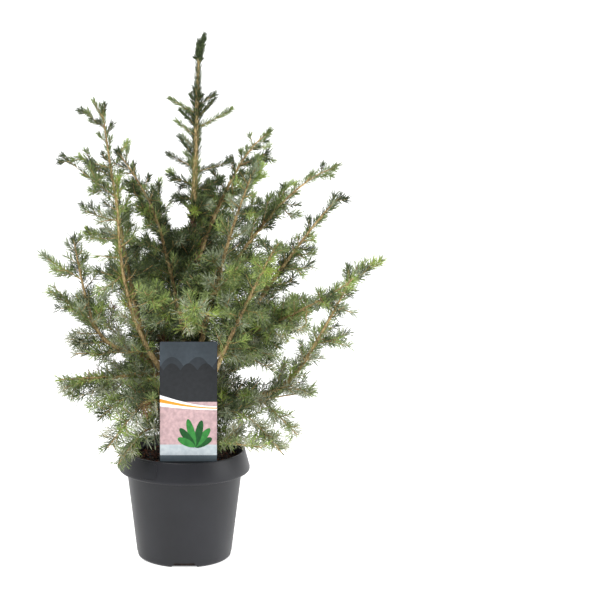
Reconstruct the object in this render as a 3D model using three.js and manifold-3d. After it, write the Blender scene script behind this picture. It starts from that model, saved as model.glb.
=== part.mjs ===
// Young Serbian spruce in a nursery pot, with its plain plant label.
// Millimetres, +Z up, origin at the middle of the pot's flat underside.
// The camera side of the plant is -Y, and headings are degrees round +Z from +X.

import * as THREE from "three";
import * as BufferGeometryUtils from "three/addons/utils/BufferGeometryUtils.js";
import Module from "manifold-3d";

const wasm = await Module();
wasm.setup();

// Driving dimensions of the pot
const POT_HEIGHT = 176;
const POT_FOOT_RADIUS = 76.2;
const POT_BODY_TOP_RADIUS = 92.3;
const POT_BODY_TOP = 141.4;
const COLLAR_TOP_RADIUS = 97.5;
const COLLAR_RADIUS = 105;
const COLLAR_WIDEST = 147.5;
const COLLAR_BOTTOM = 142.4;
const POT_WALL = 2.2;
const POT_FLOOR = 3.4;
const POT_CORNER = 6;
const COLLAR_LIP = 4.5;
const SKIRT_DROP = 8;
const DRAFT = 0.6;
const PROFILE_STEPS = 4;
const POT_SIDES = 28;
const DRAIN_COUNT = 4;
const DRAIN_FOOT_WIDTH = 44;
const DRAIN_HEAD_WIDTH = 30;
const DRAIN_HEIGHT = 8.5;
const DRAIN_DEPTH = 13;

// Driving dimensions of the soil, the label and the trunk
const GAP = 0.3;
const SOIL_TOP = 160;
const SOIL_RIM_DROP = 4;
const SOIL_LEVEL_RADIUS = 24;
const SOIL_RING_RADII = [72, 48];
const SOIL_WAVES = [
  { height: 1.75, turns: 3, swirl: 0.11 },
  { height: 1.05, turns: 7, swirl: -0.07 },
];
const LABEL_WIDTH = 89;
const LABEL_BOTTOM = 171;
const LABEL_TOP = 364;
const LABEL_THICKNESS = 1.2;
const LABEL_CORNER = 3;
const LABEL_X = 6.3;
const LABEL_Y = -75;
const STAKE_WIDTH = 30;
const STAKE_POINT = 112;
const STAKE_POINT_WIDTH = 10;
const TRUNK_TOP = 800;
const TRUNK_FOOT_X = 1;
const TRUNK_LEAN = 21;
const TRUNK_LEAN_CURVE = 0.9;
const TRUNK_FOOT_RADIUS = 10.5;
const TRUNK_TIP_RADIUS = 1.9;
const TRUNK_FLARE = 6;
const TRUNK_FLARE_HEIGHT = 11;
const TRUNK_SIDES = 10;
const TRUNK_RINGS = 12;
const TRUNK_RING_SPREAD = 1.5;

// Driving dimensions of boughs, stems and needle sprays
const BOUGH_SIDES = 6;
const BOUGH_STEP = 40;
const BOUGH_COLLAR = 1.18;
const LIMB_TAPER = 1.1;
const STEM_GIRTH = 4.4;
const STEM_STEP = 28;
const STEM_TIP_RADIUS = 0.9;
const STEM_LEADER = 46;
const SHOOT_SIDES = 3;
const SHOOT_STEP = 13;
const SHOOT_FOOT_RADIUS = 1.7;
const SHOOT_TIP_RADIUS = 1.1;
const SHOOT_TIP = 11;
const SHOOT_SPACING = 50;
const SHOOT_ANGLE = 56;
const SHOOT_ANGLE_SPREAD = 18;
const SHOOT_LIFT = 0.1;
const SHOOT_FLAT = 0.35;
const SHOOT_FIRST = 1.05;
const SHOOT_LAST = 0.45;
const SHOOT_UNEVEN = 0.4;
const SPACING_UNEVEN = 0.3;
const TURN_UNEVEN = 30;
const TIP_MARGIN = 13;
const NEEDLE_OUT = 15;
const NEEDLE_FORWARD = 13;
const NEEDLE_TWIST = 0.5;
const NEEDLE_UNEVEN = 0.1;
const NEEDLE_CLEARANCE = 1.0;
const CURVE_POINTS = 48;
const ELBOW_PULL = 3.2;
const TURN = 137.5;
const SHORTEST_SHOOT = 22;
const SHORTENED = 0.72;
const FIRST_SEED = 41;
const SEED_STEP = 97;

// Driving dimensions of the needles on the leader
const SLEEVE_SIDES = 6;
const SLEEVE_NEEDLE = { out: 7, forward: 13 };
const TUFT_RINGS = [
  { rise: 0, radius: 2.2 },
  { rise: 9, radius: 2 },
  { rise: 20, radius: 1.6 },
  { rise: 32, radius: 0 },
];
const TUFT_SIDES = 5;
const TUFT_NEEDLE = { out: 5.5, forward: 13 };
const TUFT_LEAN = 0.06;

const DEGREE = Math.PI / 180;
const UP = new THREE.Vector3(0, 0, 1);

// Each limb leaves the trunk at the height foot, on the compass heading, and ends at its reach out
// from the trunk and its tip height. bow above 1 makes it run out early and then climb, lift above 1
// makes it climb late. A limb with an elbow bends there instead, out from the trunk and up.
// girth is its thickness at the trunk, where it has a bough of its own over its bare share of length.
// twig is the length of its side shoots. A fork is a long side stem: the share of the limb's length
// where it starts, its heading, its climb in degrees and its length.
const LIMBS = [
  {
    name: "front_left_tall", foot: 262, heading: 206, reach: 120, tip: 614, bow: 2.7, lift: 1.12,
    girth: 9, bare: 0.26, twig: 40,
    forks: [
      { at: 0.92, heading: 178, climb: 34, length: 100 },
      { at: 0.83, heading: 184, climb: 12, length: 54 },
      { at: 0.77, heading: 182, climb: 0, length: 44 },
      { at: 0.68, heading: 184, climb: 2, length: 45 },
      { at: 0.6, heading: 186, climb: 8, length: 46 },
      { at: 0.58, heading: 10, climb: 24, length: 46 },
      { at: 0.52, heading: 8, climb: 18, length: 50 },
    ],
  },
  {
    name: "left_tall", foot: 205, heading: 166, reach: 137, tip: 720, bow: 1, lift: 1.9,
    girth: 9, bare: 0.42, twig: 44,
    forks: [
      { at: 0.935, heading: 176, climb: 34, length: 44 },
    ],
  },
  {
    name: "front_left_inner", foot: 322, heading: 211, reach: 127, tip: 657, elbow: { out: 57, up: 566 },
    girth: 7, bare: 0.3, twig: 52,
  },
  {
    name: "left_outer", foot: 318, heading: 186, reach: 181, tip: 517, elbow: { out: 149, up: 338 },
    girth: 8, bare: 0.46, twig: 46,
    forks: [
      { at: 0.785, heading: 182, climb: 28, length: 70 },
      { at: 0.51, heading: 192, climb: 44, length: 94 },
    ],
  },
  {
    name: "left_low", foot: 300, heading: 192, reach: 206, tip: 297, bow: 1.2, lift: 0.6,
    girth: 6, bare: 0.22, twig: 50,
    forks: [
      { at: 0.78, heading: 200, climb: -40, length: 44 },
      { at: 0.5, heading: 205, climb: -35, length: 50 },
    ],
  },
  {
    name: "left_middle", foot: 336, heading: 190, reach: 182, tip: 336, bow: 1.4, lift: 1,
    girth: 0, bare: 0.24, twig: 46,
  },
  {
    name: "front_left_low", foot: 250, heading: 216, reach: 166, tip: 250, elbow: { out: 92, up: 290 },
    girth: 6, bare: 0.2, twig: 46,
  },
  {
    name: "front_left_drooping", foot: 232, heading: 232, reach: 194, tip: 216, elbow: { out: 99, up: 285 },
    girth: 0, bare: 0.1, twig: 44,
  },
  {
    name: "front_left_rim", foot: 212, heading: 222, reach: 143, tip: 174, elbow: { out: 88, up: 227 },
    girth: 0, bare: 0.1, twig: 36,
  },
  {
    name: "front_right_inner", foot: 240, heading: 308, reach: 165, tip: 636, bow: 0.84, lift: 0.91,
    girth: 9, bare: 0.4, twig: 50,
    forks: [
      { at: 0.9, heading: 10, climb: 52, length: 42 },
      { at: 0.8, heading: 4, climb: 28, length: 36 },
    ],
  },
  {
    name: "right_upper", foot: 455, heading: 20, reach: 130, tip: 674, bow: 0.63, lift: 1,
    girth: 7, bare: 0.2, twig: 50,
  },
  {
    name: "front_right_tall", foot: 214, heading: 307, reach: 223, tip: 530, bow: 0.88, lift: 1.14,
    girth: 9, bare: 0.38, twig: 52,
  },
  {
    name: "right_tall", foot: 290, heading: 345, reach: 241, tip: 586, bow: 0.82, lift: 1.33,
    girth: 9, bare: 0.3, twig: 52,
    forks: [
      { at: 0.69, heading: 350, climb: 0, length: 32 },
      { at: 0.62, heading: 348, climb: -2, length: 50 },
    ],
  },
  {
    name: "back_right_tall", foot: 318, heading: 25, reach: 261, tip: 614, bow: 0.65, lift: 0.8,
    girth: 8, bare: 0.36, twig: 54,
    forks: [
      { at: 0.55, heading: 8, climb: 48, length: 62 },
    ],
  },
  {
    name: "right_outer", foot: 262, heading: 1, reach: 268, tip: 469, elbow: { out: 158, up: 250 },
    girth: 9, bare: 0.34, twig: 42,
    forks: [
      { at: 0.93, heading: 356, climb: 31, length: 56 },
      { at: 0.63, heading: 350, climb: 14, length: 54 },
      { at: 0.37, heading: 0, climb: 72, length: 46 },
    ],
  },
  {
    name: "front_right_outer", foot: 318, heading: 326, reach: 292, tip: 476, bow: 1.2, lift: 0.95,
    girth: 7, bare: 0.26, twig: 54,
    forks: [
      { at: 0.35, heading: 330, climb: -8, length: 58 },
    ],
  },
  {
    name: "right_low", foot: 232, heading: 8, reach: 206, tip: 262, bow: 1, lift: 0.8,
    girth: 0, bare: 0.12, twig: 52,
  },
  {
    name: "right_drooping", foot: 246, heading: 340, reach: 183, tip: 213, elbow: { out: 109, up: 282 },
    girth: 0, bare: 0.12, twig: 40,
  },
  {
    name: "front_right_drooping", foot: 244, heading: 325, reach: 181, tip: 192, elbow: { out: 115, up: 252 },
    girth: 0, bare: 0.12, twig: 40,
  },
  {
    name: "front_right_rim", foot: 196, heading: 314, reach: 166, tip: 208, bow: 1, lift: 1.4,
    girth: 0, bare: 0.12, twig: 40,
  },
  {
    name: "front_left_upper", foot: 356, heading: 248, reach: 178, tip: 456, bow: 1.1, lift: 0.8,
    girth: 6, bare: 0.24, twig: 50,
  },
  {
    name: "front_upper", foot: 344, heading: 272, reach: 196, tip: 438, bow: 1, lift: 0.7,
    girth: 0, bare: 0.12, twig: 50,
  },
  {
    name: "front_right_upper", foot: 376, heading: 294, reach: 172, tip: 492, bow: 1.1, lift: 0.8,
    girth: 6, bare: 0.24, twig: 48,
  },
  {
    name: "back_middle", foot: 268, heading: 108, reach: 218, tip: 452, bow: 1.1, lift: 1.1,
    girth: 8, bare: 0.26, twig: 56,
  },
  {
    name: "back_right_upper", foot: 286, heading: 74, reach: 180, tip: 560, bow: 1.2, lift: 1,
    girth: 7, bare: 0.26, twig: 52,
  },
  {
    name: "back_left_upper", foot: 278, heading: 122, reach: 196, tip: 524, bow: 1.2, lift: 1.1,
    girth: 8, bare: 0.26, twig: 54,
  },
  {
    name: "back_right_low", foot: 208, heading: 62, reach: 234, tip: 318, bow: 1, lift: 1,
    girth: 0, bare: 0.12, twig: 54,
  },
  {
    name: "back_low", foot: 196, heading: 92, reach: 232, tip: 262, bow: 1, lift: 1,
    girth: 0, bare: 0.12, twig: 54,
  },
  {
    name: "back_left_low", foot: 212, heading: 128, reach: 200, tip: 286, bow: 1, lift: 1,
    girth: 0, bare: 0.12, twig: 48,
  },
  {
    name: "back_right_outer", foot: 306, heading: 36, reach: 232, tip: 396, bow: 1, lift: 1.2,
    girth: 7, bare: 0.24, twig: 50,
    forks: [
      { at: 0.45, heading: 10, climb: -35, length: 60 },
    ],
  },
  {
    name: "back_left_outer", foot: 262, heading: 144, reach: 206, tip: 392, bow: 1, lift: 1.2,
    girth: 0, bare: 0.24, twig: 48,
  },
  {
    name: "back_left_top", foot: 440, heading: 122, reach: 100, tip: 590, bow: 2, lift: 1.2,
    girth: 0, bare: 0.12, twig: 40,
  },
  {
    name: "back_right_top", foot: 430, heading: 72, reach: 98, tip: 576, bow: 1.3, lift: 0.9,
    girth: 0, bare: 0.12, twig: 40,
  },
];

// Sleeves of needles round the leader, from one height to another, with the short shoots that stand
// out of each: height on the trunk, heading, climb and length.
const SLEEVES = [
  {
    name: "leader_upper_needles",
    from: 704,
    to: 786,
    rows: 6,
    cover: 2.4,
    shoots: [
      { at: 721, heading: 4, climb: 28, length: 30 },
      { at: 716, heading: 130, climb: 52, length: 24 },
      { at: 709, heading: 190, climb: 23, length: 44 },
      { at: 730, heading: 262, climb: 40, length: 26 },
    ],
  },
  {
    name: "leader_middle_needles",
    from: 610,
    to: 696,
    rows: 5,
    cover: 2.2,
    shoots: [
      { at: 687, heading: 356, climb: 24, length: 58 },
      { at: 675, heading: 184, climb: 31, length: 35 },
      { at: 660, heading: 84, climb: 40, length: 32 },
      { at: 653, heading: 200, climb: 42, length: 28 },
      { at: 626, heading: 172, climb: 19, length: 45 },
      { at: 618, heading: 8, climb: 10, length: 55 },
      { at: 622, heading: 118, climb: 34, length: 36 },
    ],
  },
  {
    name: "leader_lower_needles",
    from: 534,
    to: 602,
    rows: 4,
    cover: 2.2,
    shoots: [
      { at: 598, heading: 176, climb: 18, length: 40 },
      { at: 590, heading: 352, climb: 17, length: 44 },
      { at: 578, heading: 204, climb: 0, length: 58 },
      { at: 560, heading: 60, climb: 34, length: 58 },
      { at: 561, heading: 170, climb: 10, length: 42 },
      { at: 546, heading: 286, climb: 30, length: 54 },
    ],
  },
];

// Solids and meshes

function toSolid(geometry) {
  const bare = geometry.clone();
  bare.deleteAttribute("normal");
  bare.deleteAttribute("uv");
  const merged = BufferGeometryUtils.mergeVertices(bare, 1e-4);
  const index = merged.index.array;
  const triangles = [];
  for (let i = 0; i < index.length; i += 3) {
    const [a, b, c] = [index[i], index[i + 1], index[i + 2]];
    if (a !== b && b !== c && c !== a) triangles.push(a, b, c);
  }
  return new wasm.Manifold(new wasm.Mesh({
    numProp: 3,
    vertProperties: new Float32Array(merged.attributes.position.array),
    triVerts: Uint32Array.from(triangles),
  }));
}

function toGeometry(solid) {
  const mesh = solid.getMesh();
  const geometry = new THREE.BufferGeometry();
  geometry.setAttribute("position", new THREE.BufferAttribute(mesh.vertProperties, 3));
  geometry.setIndex(new THREE.BufferAttribute(mesh.triVerts, 1));
  return geometry;
}

// Repeatable random numbers from 0 to 1, the same in every run
function seeded(seed) {
  let state = seed >>> 0;
  return () => {
    state = (state * 1664525 + 1013904223) % 4294967296;
    return state / 4294967296;
  };
}

// A closed tube along a row of points. Each ring has the given number of sides, and a face for which
// needle() gives a length rises to one needle that leans forward. A pointed tube ends in one vertex.
function needleTube({ points, radii, sides, needle, pointed, twist = 0, frames = tubeFrames(points) }) {
  const positions = [];
  const triangles = [];
  const rings = [];
  const last = points.length - 1;
  for (let i = 0; i <= last; i += 1) {
    if (pointed && i === last) break;
    const ring = [];
    for (let j = 0; j < sides; j += 1) {
      const angle = (j / sides) * 2 * Math.PI + i * twist;
      const corner = points[i].clone()
        .addScaledVector(frames[i].side, Math.cos(angle) * radii[i])
        .addScaledVector(frames[i].over, Math.sin(angle) * radii[i]);
      ring.push(positions.length);
      positions.push(corner);
    }
    rings.push(ring);
  }
  for (let i = 0; i + 1 < rings.length; i += 1) {
    for (let j = 0; j < sides; j += 1) {
      const next = (j + 1) % sides;
      const corners = [rings[i][j], rings[i][next], rings[i + 1][next], rings[i + 1][j]];
      const size = needle ? needle(i, j) : null;
      if (size) {
        const foot = new THREE.Vector3();
        corners.forEach((c) => foot.addScaledVector(positions[c], 1 / corners.length));
        const middle = points[i].clone().lerp(points[i + 1], 0.5);
        const out = foot.clone().sub(middle).normalize();
        const apex = foot.addScaledVector(out, size.out).addScaledVector(frames[i].along, size.forward);
        const tip = positions.length;
        positions.push(apex);
        for (let c = 0; c < 4; c += 1) triangles.push(corners[c], corners[(c + 1) % 4], tip);
      } else {
        triangles.push(corners[0], corners[1], corners[2], corners[0], corners[2], corners[3]);
      }
    }
  }
  const foot = rings[0];
  for (let j = 1; j + 1 < sides; j += 1) triangles.push(foot[0], foot[j + 1], foot[j]);
  const head = rings[rings.length - 1];
  if (pointed) {
    const tip = positions.length;
    positions.push(points[last].clone());
    for (let j = 0; j < sides; j += 1) triangles.push(head[j], head[(j + 1) % sides], tip);
  } else {
    for (let j = 1; j + 1 < sides; j += 1) triangles.push(head[0], head[j], head[j + 1]);
  }
  const geometry = new THREE.BufferGeometry();
  const place = positions.flatMap((position) => position.toArray());
  geometry.setAttribute("position", new THREE.Float32BufferAttribute(place, 3));
  geometry.setIndex(triangles);
  return geometry;
}

// Directions along, beside and over a row of points, carried along it without twisting
function tubeFrames(points, tangents) {
  const frames = [];
  let side = null;
  for (let i = 0; i < points.length; i += 1) {
    const before = points[Math.max(i - 1, 0)];
    const after = points[Math.min(i + 1, points.length - 1)];
    const along = tangents ? tangents[i] : after.clone().sub(before).normalize();
    if (!side) {
      side = new THREE.Vector3(0, 1, 0).cross(along);
      if (side.lengthSq() < 0.01) side = new THREE.Vector3(1, 0, 0).cross(along);
    }
    side = side.clone().addScaledVector(along, -side.dot(along)).normalize();
    frames.push({ along, side, over: along.clone().cross(side) });
  }
  return frames;
}

// Trunk

function trunkShare(z) {
  return THREE.MathUtils.clamp((z - SOIL_TOP) / (TRUNK_TOP - SOIL_TOP), 0, 1.1);
}

function trunkAxis(z) {
  return new THREE.Vector3(TRUNK_FOOT_X + TRUNK_LEAN * trunkShare(z) ** TRUNK_LEAN_CURVE, 0, z);
}

function trunkRadius(z) {
  const taper = THREE.MathUtils.lerp(TRUNK_FOOT_RADIUS, TRUNK_TIP_RADIUS, Math.min(trunkShare(z), 1));
  return taper + TRUNK_FLARE * Math.exp(-(z - SOIL_TOP) / TRUNK_FLARE_HEIGHT);
}

// The trunk's rings are level, so its foot is a flat cut on the soil
function trunkSolid(extra) {
  const points = [];
  const radii = [];
  for (let i = 0; i <= TRUNK_RINGS; i += 1) {
    const z = SOIL_TOP + GAP + (TRUNK_TOP - SOIL_TOP - GAP) * (i / TRUNK_RINGS) ** TRUNK_RING_SPREAD;
    points.push(trunkAxis(z));
    radii.push(trunkRadius(z) + extra);
  }
  const level = { along: UP, side: new THREE.Vector3(1, 0, 0), over: new THREE.Vector3(0, 1, 0) };
  return toSolid(needleTube({ points, radii, sides: TRUNK_SIDES, frames: points.map(() => level) }));
}

// Pot, soil and label

// The collar stands over the wall as a hollow skirt with a thick lower lip
function potProfile() {
  const skirtTop = POT_HEIGHT - SKIRT_DROP;
  const outline = new THREE.Path();
  outline.moveTo(0, 0);
  outline.lineTo(POT_FOOT_RADIUS - POT_CORNER, 0);
  outline.quadraticCurveTo(POT_FOOT_RADIUS, 0, POT_FOOT_RADIUS, POT_CORNER);
  outline.lineTo(POT_BODY_TOP_RADIUS, POT_BODY_TOP);
  outline.lineTo(innerRadius(POT_HEIGHT) - 1, skirtTop - 1);
  outline.lineTo(innerRadius(POT_HEIGHT) + 1, skirtTop + 1);
  outline.lineTo(COLLAR_RADIUS - POT_WALL - 1, COLLAR_WIDEST + 4);
  outline.lineTo(COLLAR_RADIUS - COLLAR_LIP, COLLAR_BOTTOM + 1);
  outline.lineTo(COLLAR_RADIUS - COLLAR_LIP / 2, COLLAR_BOTTOM);
  outline.quadraticCurveTo(COLLAR_RADIUS, COLLAR_BOTTOM, COLLAR_RADIUS, COLLAR_WIDEST);
  outline.lineTo(COLLAR_TOP_RADIUS, POT_HEIGHT - 1);
  outline.lineTo(COLLAR_TOP_RADIUS - 1, POT_HEIGHT);
  outline.lineTo(innerRadius(POT_HEIGHT), POT_HEIGHT);
  outline.lineTo(innerRadius(POT_FLOOR), POT_FLOOR);
  outline.lineTo(0, POT_FLOOR);
  return outline.getPoints(PROFILE_STEPS);
}

// Radius of the pot's inner face at a height
function innerRadius(z) {
  const share = (z - POT_FLOOR) / (POT_HEIGHT - POT_FLOOR);
  const foot = POT_FOOT_RADIUS - POT_WALL - DRAFT;
  const top = COLLAR_TOP_RADIUS - POT_WALL - 1;
  return THREE.MathUtils.lerp(foot, top, share);
}

function latheSolid(profile, sides) {
  const geometry = new THREE.LatheGeometry(profile, sides);
  geometry.rotateX(Math.PI / 2);
  return toSolid(geometry);
}

// One drain opening at the foot of the wall, wider at the ground
function drainCutter(heading) {
  const shape = new THREE.Shape();
  shape.moveTo(-DRAIN_FOOT_WIDTH / 2, -1);
  shape.lineTo(DRAIN_FOOT_WIDTH / 2, -1);
  shape.lineTo(DRAIN_HEAD_WIDTH / 2, DRAIN_HEIGHT);
  shape.lineTo(-DRAIN_HEAD_WIDTH / 2, DRAIN_HEIGHT);
  const geometry = new THREE.ExtrudeGeometry(shape, { depth: DRAIN_DEPTH * 2, bevelEnabled: false });
  geometry.rotateX(Math.PI / 2);
  geometry.translate(0, -(POT_FOOT_RADIUS - DRAIN_DEPTH), 0);
  geometry.rotateZ(heading * DEGREE);
  return toSolid(geometry);
}

function potSolid() {
  let pot = latheSolid(potProfile(), POT_SIDES);
  for (let i = 0; i < DRAIN_COUNT; i += 1) pot = pot.subtract(drainCutter((i * 360) / DRAIN_COUNT));
  return pot;
}

// Soil with a low, uneven surface, level where the trunk stands on it
function soilSolid() {
  const floor = POT_FLOOR + GAP;
  const rim = SOIL_TOP - SOIL_RIM_DROP;
  const profile = [
    new THREE.Vector2(0, floor),
    new THREE.Vector2(innerRadius(floor) - GAP - 2, floor),
    new THREE.Vector2(innerRadius(rim) - GAP, rim),
    ...SOIL_RING_RADII.map((radius) => new THREE.Vector2(radius, SOIL_TOP - 1)),
    new THREE.Vector2(SOIL_LEVEL_RADIUS, SOIL_TOP),
    new THREE.Vector2(0, SOIL_TOP),
  ];
  const geometry = new THREE.LatheGeometry(profile, POT_SIDES);
  geometry.rotateX(Math.PI / 2);
  const place = geometry.attributes.position;
  for (let i = 0; i < place.count; i += 1) {
    const radius = Math.hypot(place.getX(i), place.getY(i));
    if (place.getZ(i) <= rim || radius <= SOIL_LEVEL_RADIUS + 1) continue;
    const angle = Math.atan2(place.getY(i), place.getX(i));
    const wave = ({ height, turns, swirl }) => height * Math.sin(turns * angle + swirl * radius);
    place.setZ(i, place.getZ(i) + SOIL_WAVES.map(wave).reduce((sum, part) => sum + part));
  }
  return toSolid(geometry).subtract(labelSolid(GAP));
}

// Flat card on a pointed stake, and grown on every side by extra for the slot in the soil
function labelSolid(extra) {
  const half = LABEL_WIDTH / 2 + extra;
  const stake = STAKE_WIDTH / 2 + extra;
  const point = STAKE_POINT_WIDTH / 2 + extra;
  const top = LABEL_TOP + extra;
  const bottom = LABEL_BOTTOM - extra;
  const corner = LABEL_CORNER;
  const shape = new THREE.Shape();
  shape.moveTo(-half + corner, top);
  shape.quadraticCurveTo(-half, top, -half, top - corner);
  shape.lineTo(-half, bottom + corner);
  shape.lineTo(-half + corner, bottom);
  shape.lineTo(-stake, bottom);
  shape.lineTo(-point, STAKE_POINT - extra);
  shape.lineTo(point, STAKE_POINT - extra);
  shape.lineTo(stake, bottom);
  shape.lineTo(half - corner, bottom);
  shape.lineTo(half, bottom + corner);
  shape.lineTo(half, top - corner);
  shape.quadraticCurveTo(half, top, half - corner, top);
  const depth = LABEL_THICKNESS + 2 * extra;
  const geometry = new THREE.ExtrudeGeometry(shape, { depth, bevelEnabled: false, curveSegments: 3 });
  geometry.translate(0, 0, -depth / 2);
  geometry.rotateX(Math.PI / 2);
  geometry.translate(LABEL_X, LABEL_Y, 0);
  return toSolid(geometry);
}

// Limbs

// How far out and how high a limb is at a share of its run
function limbPlace(limb, t) {
  if (!limb.elbow) {
    const up = limb.foot + (limb.tip - limb.foot) * t ** limb.lift;
    return { out: limb.reach * (1 - (1 - t) ** limb.bow), up };
  }
  const start = (1 - t) ** 2;
  const middle = 2 * t * (1 - t) * ELBOW_PULL;
  const end = t ** 2;
  const whole = start + middle + end;
  return {
    out: (middle * limb.elbow.out + end * limb.reach) / whole,
    up: (start * limb.foot + middle * limb.elbow.up + end * limb.tip) / whole,
  };
}

// The limb's line in space, from the trunk's axis to its tip
function limbCurve(limb) {
  const heading = limb.heading * DEGREE;
  const origin = trunkAxis(limb.foot);
  const raw = [];
  for (let i = 0; i <= CURVE_POINTS; i += 1) {
    const { out, up } = limbPlace(limb, i / CURVE_POINTS);
    raw.push(new THREE.Vector3(origin.x + out * Math.cos(heading), origin.y + out * Math.sin(heading), up));
  }
  return new THREE.CatmullRomCurve3(raw);
}

function limbRadius(limb, share) {
  const foot = (limb.girth || STEM_GIRTH) / 2;
  return THREE.MathUtils.lerp(foot, STEM_TIP_RADIUS, Math.min(share, 1) ** LIMB_TAPER);
}

// Shares of a curve's length between two of them, about one step apart
function stretch(curve, from, to, step) {
  const count = Math.max(2, Math.round(((to - from) * curve.getLength()) / step));
  const shares = [];
  for (let i = 0; i <= count; i += 1) shares.push(from + ((to - from) * i) / count);
  return shares;
}

// The points and frames of a curve at shares of its length
function along(curve, shares) {
  const points = shares.map((share) => curve.getPointAt(share));
  return { points, frames: tubeFrames(points, shares.map((share) => curve.getTangentAt(share))) };
}

function boughSolid(limb, curve) {
  const shares = stretch(curve, 0, limb.bare, BOUGH_STEP);
  const radii = shares.map((share, i) => limbRadius(limb, share) * (i < 2 ? BOUGH_COLLAR : 1));
  return toSolid(needleTube({ ...along(curve, shares), radii, sides: BOUGH_SIDES }));
}

function stemSolid(limb, curve) {
  const length = curve.getLength();
  const start = limb.girth ? limb.bare + GAP / length : 0;
  const leaderFrom = 1 - STEM_LEADER / length;
  const lower = stretch(curve, start, leaderFrom, STEM_STEP);
  const shares = [...lower, ...stretch(curve, leaderFrom, 1, SHOOT_STEP).slice(1)];
  const radii = shares.map((share) => limbRadius(limb, share));
  const needle = (i, j) => (shares[i] >= leaderFrom && (i + j) % SHOOT_SIDES !== 2
    ? { out: NEEDLE_OUT, forward: NEEDLE_FORWARD }
    : null);
  const stem = { ...along(curve, shares), radii, sides: SHOOT_SIDES, needle };
  return toSolid(needleTube({ ...stem, pointed: true, twist: NEEDLE_TWIST }));
}

// A shoot is a slim three-sided core with needles standing out of every face
function shootSolid(shoot, margin) {
  const count = Math.max(2, Math.round((shoot.length - SHOOT_TIP) / SHOOT_STEP));
  const points = [];
  const radii = [];
  for (let i = 0; i <= count; i += 1) {
    const share = i / count;
    points.push(shootPoint(shoot, share * (shoot.length - SHOOT_TIP)));
    radii.push(THREE.MathUtils.lerp(SHOOT_FOOT_RADIUS, SHOOT_TIP_RADIUS, share) + margin / 2);
  }
  points.push(shootPoint(shoot, shoot.length + margin));
  const needle = (i, j) => {
    if ((i + j) % SHOOT_SIDES === 2) return null;
    const full = j === 0 ? 1 + NEEDLE_UNEVEN : 1 - NEEDLE_UNEVEN;
    return { out: NEEDLE_OUT * full + margin, forward: NEEDLE_FORWARD + margin / 2 };
  };
  const core = { points, radii, sides: SHOOT_SIDES, needle };
  return toSolid(needleTube({ ...core, pointed: true, twist: NEEDLE_TWIST }));
}

// A shoot starts inside its stem and bends up a little towards its tip
function shootPoint(shoot, distance) {
  const rise = (SHOOT_LIFT * distance ** 2) / shoot.length;
  return shoot.root.clone().addScaledVector(shoot.direction, distance).addScaledVector(UP, rise);
}

function directionOf(heading, climb) {
  const level = Math.cos(climb * DEGREE);
  return new THREE.Vector3(
    Math.cos(heading * DEGREE) * level,
    Math.sin(heading * DEGREE) * level,
    Math.sin(climb * DEGREE),
  );
}

// Side shoots turn round the stem by a fixed angle from one to the next. On a level limb they are
// pressed into a flat spray, on a steep one they stand all round, and they get shorter to the tip.
function sideShoots(limb, curve, random) {
  const length = curve.getLength();
  const shoots = [];
  const leafy = length * (1 - limb.bare);
  let turn = random() * 360;
  let distance = length * limb.bare + SHOOT_SPACING / 2;
  while (distance < length - TIP_MARGIN) {
    const share = distance / length;
    const tangent = curve.getTangentAt(share);
    const beside = new THREE.Vector3().crossVectors(tangent, UP).normalize();
    const over = new THREE.Vector3().crossVectors(beside, tangent);
    const flat = THREE.MathUtils.lerp(SHOOT_FLAT, 1, Math.abs(tangent.z));
    const away = beside.multiplyScalar(Math.cos(turn * DEGREE))
      .addScaledVector(over, Math.sin(turn * DEGREE) * flat)
      .normalize();
    const angle = (SHOOT_ANGLE + (random() - 0.5) * SHOOT_ANGLE_SPREAD) * DEGREE;
    const direction = tangent.multiplyScalar(Math.cos(angle)).addScaledVector(away, Math.sin(angle));
    const outward = (distance - length * limb.bare) / leafy;
    const uneven = 1 + (random() - 0.5) * SHOOT_UNEVEN;
    const size = limb.twig * THREE.MathUtils.lerp(SHOOT_FIRST, SHOOT_LAST, outward) * uneven;
    shoots.push({ root: curve.getPointAt(share), direction, length: Math.max(size, SHORTEST_SHOOT) });
    turn += TURN + (random() - 0.5) * TURN_UNEVEN;
    distance += SHOOT_SPACING * (1 + (random() - 0.5) * SPACING_UNEVEN);
  }
  return shoots;
}

function forkShoots(limb, curve) {
  return (limb.forks || []).map(({ at, heading, climb, length }) => (
    { root: curve.getPointAt(at), direction: directionOf(heading, climb), length }
  ));
}

// Growing the tree

function touches(solid, others) {
  const box = boxOf(solid);
  return others.some((other) => box.intersectsBox(other.box) && !solid.intersect(other.solid).isEmpty());
}

function boxOf(solid) {
  const bounds = solid.boundingBox();
  return new THREE.Box3(new THREE.Vector3(...bounds.min), new THREE.Vector3(...bounds.max));
}

function entry(name, solid, material) {
  return { name, solid, box: boxOf(solid), material };
}

const MATERIALS = {
  pot: new THREE.MeshStandardMaterial({ color: 0x45474b, roughness: 0.45, metalness: 0 }),
  soil: new THREE.MeshStandardMaterial({ color: 0x2c211b, roughness: 0.95, metalness: 0 }),
  label: new THREE.MeshStandardMaterial({ color: 0x4b5057, roughness: 0.35, metalness: 0 }),
  bark: new THREE.MeshStandardMaterial({ color: 0x8a6748, roughness: 0.85, metalness: 0 }),
  needles: new THREE.MeshStandardMaterial({ color: 0x4c6b4a, roughness: 0.7, metalness: 0 }),
};

const pieces = [
  entry("pot", potSolid(), MATERIALS.pot),
  entry("potting_soil", soilSolid(), MATERIALS.soil),
  entry("plant_label", labelSolid(0), MATERIALS.label),
  entry("trunk", trunkSolid(0), MATERIALS.bark),
];
const clearOfTrunk = trunkSolid(GAP);

const limbs = LIMBS.map((limb, index) => ({
  ...limb,
  curve: limbCurve(limb),
  random: seeded(FIRST_SEED + index * SEED_STEP),
}));

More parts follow.
